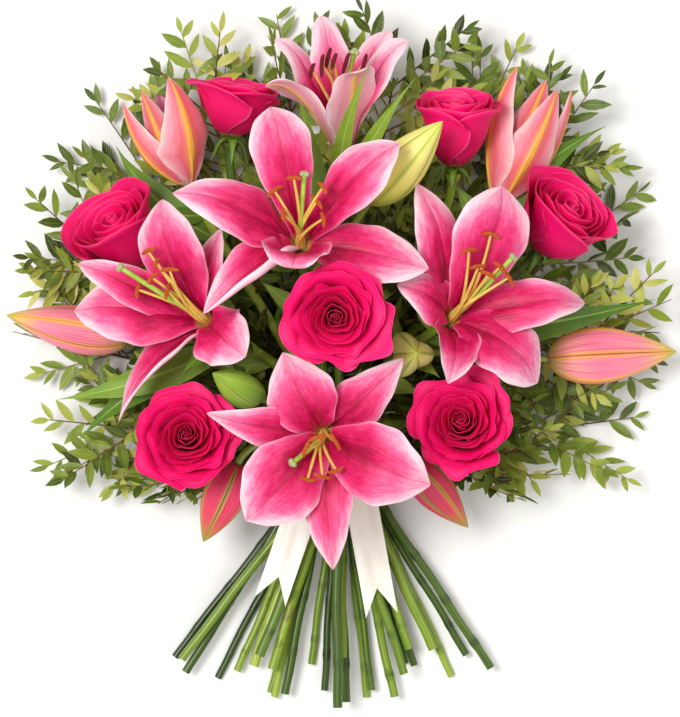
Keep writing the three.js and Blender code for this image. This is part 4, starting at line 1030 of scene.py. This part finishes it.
lilyStemLeaves = {"places": 5, "from": 0.45, "to": 0.9, "width": 14, "length": 48, "mainWidth": 25,
                  "thickness": 0.6, "clearance": 2.0, "beyondBox": 1, "tries": 6, "tryDegrees": 60}


def extraLilyLeaves(index, above, tree):
    # More leaves up a lily's stem, turned by the golden angle, where they stand clear of the blooms.
    made = []
    for k in range(lilyStemLeaves["places"]):
        at = mix(lilyStemLeaves["from"], lilyStemLeaves["to"], k / (lilyStemLeaves["places"] - 1))
        point, direction = (a[0] for a in bezier(above, [at]))
        length = lilyStemLeaves["length"] * (0.75 + 0.5 * chance(index * 20 + k))
        for attempt in range(lilyStemLeaves["tries"]):
            turn = goldenDegrees * k + lilyStemLeaves["tryDegrees"] * attempt
            out = turned(unit(np.cross(direction, [0, 0, 1])), direction, turn)
            tip = point + unit(0.55 * direction + out) * length
            leaf = lilyLeaf(point, tip, lilyStemLeaves["width"])
            marks = leaf[2::3, ::4].reshape(-1, 3)
            clear = clearPoints(tree, marks, lilyStemLeaves["clearance"], -lilyStemLeaves["beyondBox"])
            if leaf[..., 2].min() > 1 and clear.all():
                made.append(leaf)
                break
    return made


def flowerStem(stem, index, tree):
    # A stem through the tie to the base of its first head, a branch to each other head, its long leaves,
    # and a calyx under a rose.
    radius = stemRadius(stem)
    first = heads[stem["heads"][0]]
    isRose = stem["heads"][0].startswith("rose")

    def under(head):
        depth = seatGap + (receptacle["depth"] if "petals" in head else 0)
        return head["base"] - head["axis"] * depth

    below, above = stemCurves(stem, index, under(first), first["axis"])
    path, distance, bump = stemPath(below, above, index)
    radii = radius * (1 + stemDetail["nodeSwell"] * bump)
    if isRose:
        nearEnd = (distance - distance[-1] + stemDetail["flareFrom"]) / stemDetail["flareOver"]
        radii = radii + stemDetail["roseFlare"] * smooth(nearEnd)
    shade = 0.2 + 0.6 * chance(index + 0.3) - stemDetail["nodeShade"] * bump
    parts = [tube(path, radii, stemDetail["sides"], tint=shade, endMaterial=1)]
    for k, name in enumerate(stem["heads"][1:]):
        head = heads[name]
        end = under(head)
        start, along = (a[0] for a in bezier(above, [0.5 - 0.12 * k]))
        gap = np.linalg.norm(end - start)
        curve = [start, start + along * gap * 0.35, end - head["axis"] * gap * 0.35, end]
        branch, _ = bezier(curve, np.linspace(0, 1, stemDetail["stepsBranch"]))
        shares = np.linspace(*stemDetail["branchShares"], stemDetail["stepsBranch"])
        parts.append(tube(branch, radius * shares, tint=0.6))
    root, width = bezier(above, [0.8])[0][0], stem.get("leafWidth", lilyStemLeaves["mainWidth"])
    leaves = [lilyLeaf(root, tip, width, 0.36 * (chance(index + 5 * k) - 0.5))
              for k, tip in enumerate(stem.get("leaves", []))]
    if not isRose:
        leaves += extraLilyLeaves(index, above, tree)
    if leaves:
        tints = [0.2 + 0.6 * chance(index * 9 + k) for k in range(len(leaves))]
        parts.append(blades(np.array(leaves), lilyStemLeaves["thickness"], tints, material=2))
    if isRose:
        parts += roseCalyx(first, index)
    return parts


calyxForm = {"sepals": 5, "length": 20, "width": 6, "thickness": 0.6, "reach": 14,
             "droops": (0.5, 0.9)}


def roseCalyx(rose, index):
    # Five pointed sepals that turn down from the foot of a rose.
    across, third, axis = frameAbout(rose["axis"])
    base = rose["base"] - axis * 1.2
    u, s = grid(8, 4)
    grids = []
    for k in range(calyxForm["sepals"]):
        angle = math.radians(360 / calyxForm["sepals"] * k + 30 * index)
        out = across * math.cos(angle) + third * math.sin(angle)
        side = np.cross(axis, out)
        droop = mix(*calyxForm["droops"], chance(index * 7 + k))
        tip = base + out * calyxForm["reach"] - axis * calyxForm["length"] * droop
        point, _ = bezier([base + out * 3, base + out * 10 - axis, tip], u)
        half = calyxForm["width"] / 2 * (1 - u**1.4) + 0.1
        grids.append(point + (s * half)[..., None] * side + (0.8 * s * s)[..., None] * axis)
    return [blades(np.array(grids), calyxForm["thickness"], 0.5, material=2)]


dealStems()
bloomTree = treeOf(bloomParts)
stemParts = []
for index, stem in enumerate(flowerStems):
    parts = flowerStem(stem, index, bloomTree)
    makePiece(camel(stem["name"]), parts, ["stemBark", "stemPith", "lilyLeaf"], stem["name"])
    stemParts += parts
print("flower stems made")


def bandOutline(inset):
    # The ribbon's round seen along the stems: flat below, round at its lower corners, domed above.
    half, corner, side = ribbonForm["halfWidth"] - inset, ribbonForm["corner"], ribbonForm["side"]
    turn = np.linspace(0, np.pi / 2, 24)
    right = np.stack([half - corner + corner * np.sin(turn), corner + inset - corner * np.cos(turn)], axis=1)
    over, rise = np.linspace(0, np.pi, 80), ribbonForm["height"] - side - inset
    dome = np.stack([half * np.cos(over), side + rise * np.sin(over)], axis=1)
    left = right[::-1] * [-1, 1]
    outline = np.concatenate([right, dome, left, right[:1]])
    distance = distanceAlong(outline)
    at = np.linspace(0, distance[-1], ribbonForm["stepsRound"], endpoint=False)
    return np.stack([np.interp(at, distance, outline[:, k]) for k in (0, 1)], axis=1), distance[-1]


def ribbonBand():
    # The satin wound round the tie: an inner and an outer wall, the outer one in four soft pleats.
    (inner, _), (outer, girth) = bandOutline(ribbonForm["thickness"] * 0.8), bandOutline(0.0)
    v = np.linspace(-1, 1, ribbonForm["rows"])[:, None]
    turn = around(len(outer))
    pleat = ribbonForm["pleat"] * np.abs(np.sin(2 * np.pi * v + 0.6 * np.sin(turn) + 0.4)) * (1 - v**8)
    out = unit(outer - np.array([0, 16.0]))
    grids = []
    for wall, lift, lowest in ((outer, pleat, 0.02), (inner, 0 * pleat, 0.9)):
        flat = wall[None] + lift[..., None] * out[None]
        y = tie[1] + v * ribbonForm["width"] / 2 + 0 * turn
        grids.append(np.stack([flat[..., 0] + tie[0], y, np.maximum(flat[..., 1], lowest)], axis=-1))
    sheetGrid = np.concatenate([grids[0], grids[1][::-1]])
    # The last round is joined to the first, which closes the ribbon's near edge
    first = np.arange(len(outer))
    last = first + (len(sheetGrid) - 1) * len(outer)
    close = np.stack([last, first, np.roll(first, -1), np.roll(last, -1)], axis=1)
    faces = np.concatenate([quadsOf(len(sheetGrid), len(outer), closed=True), close])
    place = np.broadcast_arrays(turn * girth / math.tau / 20, np.concatenate([v, v[::-1]]), 1.0)
    return partOf(sheetGrid, faces, np.stack(place, axis=-1)), girth


tails = {"ribbonTailLeft": {"root": [-13, -67], "end": [-50, -174]},
         "ribbonTailRight": {"root": [9, -67], "end": [30, -184]}}
tailForm = {"cellsLong": 56, "cellsAcross": 22, "thickness": 0.5, "lift": 1.9, "folds": (1.4, 1.1),
            "knotShare": 0.82}


def ribbonTail(tail, seed):
    # A strip with a notched end that slopes down a little, with soft lengthwise folds and a ripple.
    root, end = np.array(tail["root"], float), np.array(tail["end"], float)
    length = np.linalg.norm(end - root)
    direction = (end - root) / length
    side = np.array([-direction[1], direction[0]])
    u, s = grid(tailForm["cellsLong"], tailForm["cellsAcross"])
    along = u * length * (1 - (1 - np.abs(s)) / 6)
    share = along / length
    drop = ribbonForm["tailDrop"] * share**1.6
    fold = tailForm["folds"][0] * np.sin(2.6 * s + 4 * share + seed) * smooth(share / 0.2)
    fold = fold + tailForm["folds"][1] * np.sin(6 * s - 5 * share + 2 * seed) * (1 - 0.5 * share)
    width = ribbonForm["tailWidth"] / 2 * mix(tailForm["knotShare"], 1.0, smooth(share / 0.25))
    z = ribbonForm["height"] + seatGap + tailForm["lift"] - drop + fold
    flat = root + along[..., None] * direction + (s * width)[..., None] * side
    return np.concatenate([flat, z[..., None]], axis=-1), length


knotForm = {"rings": 22, "sides": 40, "halfWidth": 10.5, "halfLength": 5.5, "halfHeight": 4.2, "lift": 4.4}


def ribbonKnot():
    # A pulled knot: a squashed round pillow with folds that run over it.
    u, turn = np.linspace(0, 1, knotForm["rings"])[:, None], around(knotForm["sides"])
    swell = np.sin(np.pi * u).clip(0.02) ** 0.7
    crease = 1 + 0.1 * np.sin(5 * turn + 6 * u)
    x = tie[0] + knotForm["halfWidth"] * swell * np.cos(turn) * crease
    y = tie[1] + mix(-knotForm["halfLength"], knotForm["halfLength"], u) + 0 * turn
    z = knotForm["halfHeight"] * swell * np.sin(turn) * crease
    z = ribbonForm["height"] + seatGap + knotForm["lift"] + z
    faces = ringFaces(knotForm["rings"], knotForm["sides"])[:, ::-1]
    place = np.stack(np.broadcast_arrays(u, turn / np.pi - 1, 1.0), axis=-1)
    return partOf(np.stack([x, y, z], axis=-1), faces, place)


band, bandGirth = ribbonBand()
bandPiece = makePiece("ribbonBand", [band], ["creamSatin"], "ribbon_band")
makePiece("ribbonKnot", [ribbonKnot()], ["creamSatin"], "ribbon_tails")
ribbonParts = [band]
for seed, (name, tail) in enumerate(tails.items()):
    surface, length = ribbonTail(tail, seed)
    parts = [blades(surface[None], tailForm["thickness"], 0.5)]
    piece = makePiece(name, parts, ["creamSatin"])
    ribbonParts += parts
print("ribbon made")

# The greenery. Each spray runs where the part's source has it and carries leafy shoots up its length.
greenery = {"places": 22, "from": 0.2, "lowest": -104, "budReach": 24, "turn": 62, "turnAtTip": 36,
            "shootLength": 58, "leafletSpacing": 5.4, "leafletLength": 17.5, "leafletWidth": 6.8,
            "leafletTurns": (62, 38), "reach": 50, "clearance": 0.8, "twigClearance": 0.9, "thickness": 0.3,
            "slopes": (-0.03, 0.12), "fewest": 3, "enough": 0.9,
            "twigRadius": 0.7, "twigTip": 0.35, "rolls": 7, "rollDegrees": 24, "climbInside": 0.9,
            "climbOutside": 0.12, "climbAtTip": 0.1, "rimFrom": 0.6, "rimGaps": 0.42, "rimSize": 1.14}


def leafletGrids(root, direction, up, length, width, bow):
    # Leaflets as grids [leaflet, along, across, xyz]: pointed ovals, folded a little along the midrib and
    # bowed towards their tips.
    u, s = grid(4, 2)
    wide = np.sin(np.pi * np.clip(0.03 + 0.97 * u, 0, 1) ** 0.9).clip(0.03) ** 0.8
    half = wide * width[:, None, None] / 2
    side = unit(np.cross(up, direction))
    lift = 0.28 * np.abs(s) * half + (bow * length)[:, None, None] * u * u
    return (root[:, None, None] + direction[:, None, None] * (u * length[:, None, None])[..., None]
            + side[:, None, None] * (s * half)[..., None] + up[:, None, None] * lift[..., None])


def shoot(root, direction, up, length, climb, size, seed):
    # One leafy shoot: a thin twig that bends up, leaflets by turns on either side and one at its tip.
    # Returns the leaflets' grids and the twig.
    draw = np.random.default_rng(int(seed))
    steps = np.linspace(0, 1, 9)
    curve = [root, root + direction * length * 0.5, root + unit(direction + climb * up) * length]
    twig, _ = bezier(curve, steps)
    count = int(length * 0.84 / greenery["leafletSpacing"] / size)
    at = np.append(np.linspace(0.16, 0.94, count), 1.0)
    places, ways = bezier(curve, at)
    turn = np.radians(mix(*greenery["leafletTurns"], at) + draw.uniform(-12, 12, count + 1))
    turn = turn * np.where(np.arange(count + 1) % 2, 1, -1)
    turn[-1] = 0
    ups = unit(up + draw.uniform(-0.5, 0.5, (count + 1, 3)))
    sides = unit(np.cross(ups, ways))
    directions = unit(np.cos(turn)[:, None] * ways + np.sin(turn)[:, None] * sides
                      + draw.uniform(-0.2, 0.2, (count + 1, 3)))
    ups = unit(ups - (ups * directions).sum(axis=1, keepdims=True) * directions)
    sizes = greenery["leafletLength"] * size * (0.68 + 0.5 * np.sin(np.pi * at**0.8))
    sizes = sizes * draw.uniform(0.85, 1.15, count + 1)
    widths = greenery["leafletWidth"] * sizes / greenery["leafletLength"] / size
    widths = widths * draw.uniform(0.85, 1.15, count + 1)
    return leafletGrids(places, directions, ups, sizes, widths, draw.uniform(-0.2, 0.08, count + 1)), twig


def inBud(point):
    # A point is in a bud if it lies behind the nearest face of one.
    place, normal, _, _ = budTree.find_nearest(Vector(point), greenery["budReach"])
    return place is not None and (Vector(point) - place).dot(normal) < 0


def clearLeaflets(tree, grids):
    # Which leaflets stand clear of everything in a tree, inside the box and off the bare stems.
    inBox = ((grids > boxLow + boxMargin) & (grids < boxHigh - boxMargin)).all(axis=(1, 2, 3))
    inBox &= grids[..., 1].min(axis=(1, 2)) > greenery["lowest"]
    marks = grids[:, 1:4].reshape(-1, 3)
    return inBox & clearPoints(tree, marks, greenery["clearance"]).reshape(len(grids), -1).all(axis=1)


def sprayParts(index, spray, tree):
    # A spray's stem and twig, and up to two shoots at each of its places. A shoot is tried at several
    # rolls about the twig, and the one with most leaflets clear of everything is kept.
    tip = np.array(spray["tip"], float)
    outward = unit(np.array([tip[0] - tie[0], tip[1] - tie[1], 0.0]))
    outward[2] = greenery["slopes"][spray["level"]]
    outward = unit(outward)
    below, above = stemCurves(spray, 40 + index, tip - outward * greenery["reach"], outward)
    path, _, bump = stemPath(below, above, 40 + index)
    tied = len(path) - stemDetail["stepsAbove"]
    taper = mix(stemSizes["spray"], 0.8, smooth((np.arange(len(path)) - tied) / stemDetail["stepsAbove"]))
    cutPart = slice(0, tied + 2)
    radii = taper * (1 + stemDetail["nodeSwell"] * bump)
    shade = 0.1 + 0.6 * chance(index) - stemDetail["nodeShade"] * bump
    parts = [
        tube(path[cutPart], radii[cutPart], 12, tint=shade[cutPart], material=3, endMaterial=1),
        tube(path[tied + 1:], taper[tied + 1:] * 0.96, 8, tint=0.1 + 0.4 * chance(index)),
    ]
    for k in range(greenery["places"]):
        at = mix(greenery["from"], 1.0, (k / (greenery["places"] - 1)) ** 0.85)
        root, along = (a[0] for a in bezier(above, [at]))
        level = unit(np.array([0, 0, 1.0]) - along[2] * along)
        isTip = k == greenery["places"] - 1
        for way in ([0] if isTip else [1, -1]):
            seed = 300 + 40 * index + 3 * k + way
            if greenery["rimFrom"] < at < 0.95 and chance(seed + 11) < greenery["rimGaps"]:
                continue
            size = mix(1.0, greenery["rimSize"], smooth((at - 0.5) / 0.3))
            length = greenery["shootLength"] * (1 if isTip else 0.8 + 0.4 * chance(seed))
            climb = mix(greenery["climbInside"], greenery["climbOutside"], smooth((at - 0.3) / 0.5))
            climb = greenery["climbAtTip"] if isTip else climb * (0.4 + 1.2 * chance(seed + 5))
            best, bestCount = None, greenery["fewest"]
            for attempt in range(greenery["rolls"]):
                roll = (attempt + 1) // 2 * (-1) ** attempt + chance(seed + 1) - 0.5
                up = turned(level, along, greenery["rollDegrees"] * roll)
                turn = mix(greenery["turn"], greenery["turnAtTip"], smooth((at - 0.5) / 0.5))
                turn = way * (turn + 30 * (chance(seed + 2 + attempt) - 0.5))
                grids, twig = shoot(root, turned(along, up, turn), up, length, climb, size, seed)
                twig[:, 2] = np.maximum(twig[:, 2], 0.9)
                grids[..., 2] = np.maximum(grids[..., 2], 0.3)
                twigClear = clearPoints(tree, twig[3:], greenery["twigClearance"]).all()
                if not twigClear or twig[:, 1].min() < greenery["lowest"] or any(map(inBud, twig[2::2])):
                    continue
                clear = clearLeaflets(tree, grids)
                if clear.sum() > bestCount:
                    best, bestCount = (grids[clear], twig), clear.sum()
                if clear.mean() > greenery["enough"]:
                    break
            if best is None:
                continue
            grids, twig = best
            # A random tone for the shoot, times painted shade that darkens shoots near the tie, inside the
            # bouquet, down to three tenths.
            tint = (0.2 + 0.62 * chance(seed + 9)) * mix(0.3, 1.0, smooth((at - 0.3) / 0.4))
            tints = [tint + 0.3 * (chance(seed * 2 + j) - 0.5) for j in range(len(grids))]
            parts.append(blades(grids, greenery["thickness"], tints, material=2))
            radii = np.linspace(greenery["twigRadius"], greenery["twigTip"], len(twig))
            parts.append(tube(twig, radii, sides=6, tint=0.1 + 0.8 * chance(seed + 4)))
    return parts


greenTree = treeOf(bloomParts + stemParts + ribbonParts)
budTree = treeOf(budParts)
leafCount = 0
for index, spray in enumerate(sprays):
    parts = sprayParts(index, spray, greenTree)
    makePiece(camel(spray["name"]), parts, ["twigBark", "stemPith", "lentiskLeaf", "stemBark"],
              spray["name"])
    leafCount += sum(len(part["faces"]) for part in parts)
print("greenery made, faces:", leafCount)

# A pale floor and soft studio lights
studio = {"floor": "#F7F6F4", "floorRoughness": 0.95, "floorSize": 8.0, "worldStrength": 0.46,
          "lights": [{"place": (-0.85, 0.3, 2.3), "size": 0.9, "power": 42},
                     {"place": (1.5, 0.7, 2.0), "size": 1.6, "power": 12},
                     {"place": (0.0, -1.8, 1.7), "size": 1.6, "power": 12}]}
floorMaterial = bpy.data.materials.new("palePaper")
floorMaterial.use_nodes = True
paper = floorMaterial.node_tree.nodes["Principled BSDF"]
paper.inputs["Base Color"].default_value = linear(studio["floor"])
paper.inputs["Roughness"].default_value = studio["floorRoughness"]
half = studio["floorSize"] / 2
floorMesh = bpy.data.meshes.new("floor")
corners = [(-half, -half, 0), (half, -half, 0), (half, half, 0), (-half, half, 0)]
floorMesh.from_pydata(corners, [], [(0, 1, 2, 3)])
floorMesh.materials.append(floorMaterial)
floor = bpy.data.objects.new("floor", floorMesh)
bpy.context.scene.collection.objects.link(floor)
for k, light in enumerate(studio["lights"]):
    lamp = bpy.data.lights.new(f"softbox{k}", "AREA")
    lamp.shape = "DISK"
    lamp.size = light["size"]
    lamp.energy = light["power"]
    lampObject = bpy.data.objects.new(f"softbox{k}", lamp)
    lampObject.location = light["place"]
    lampObject.rotation_euler = (-Vector(light["place"])).to_track_quat("-Z", "Y").to_euler()
    bpy.context.scene.collection.objects.link(lampObject)
world = bpy.data.worlds.new("studio")
world.use_nodes = True
background = world.node_tree.nodes["Background"]
background.inputs["Color"].default_value = (1, 1, 1, 1)
background.inputs["Strength"].default_value = studio["worldStrength"]
bpy.context.scene.world = world
bpy.context.scene.view_settings.view_transform = "Standard"
print("studio made")

bpy.context.view_layer.update()
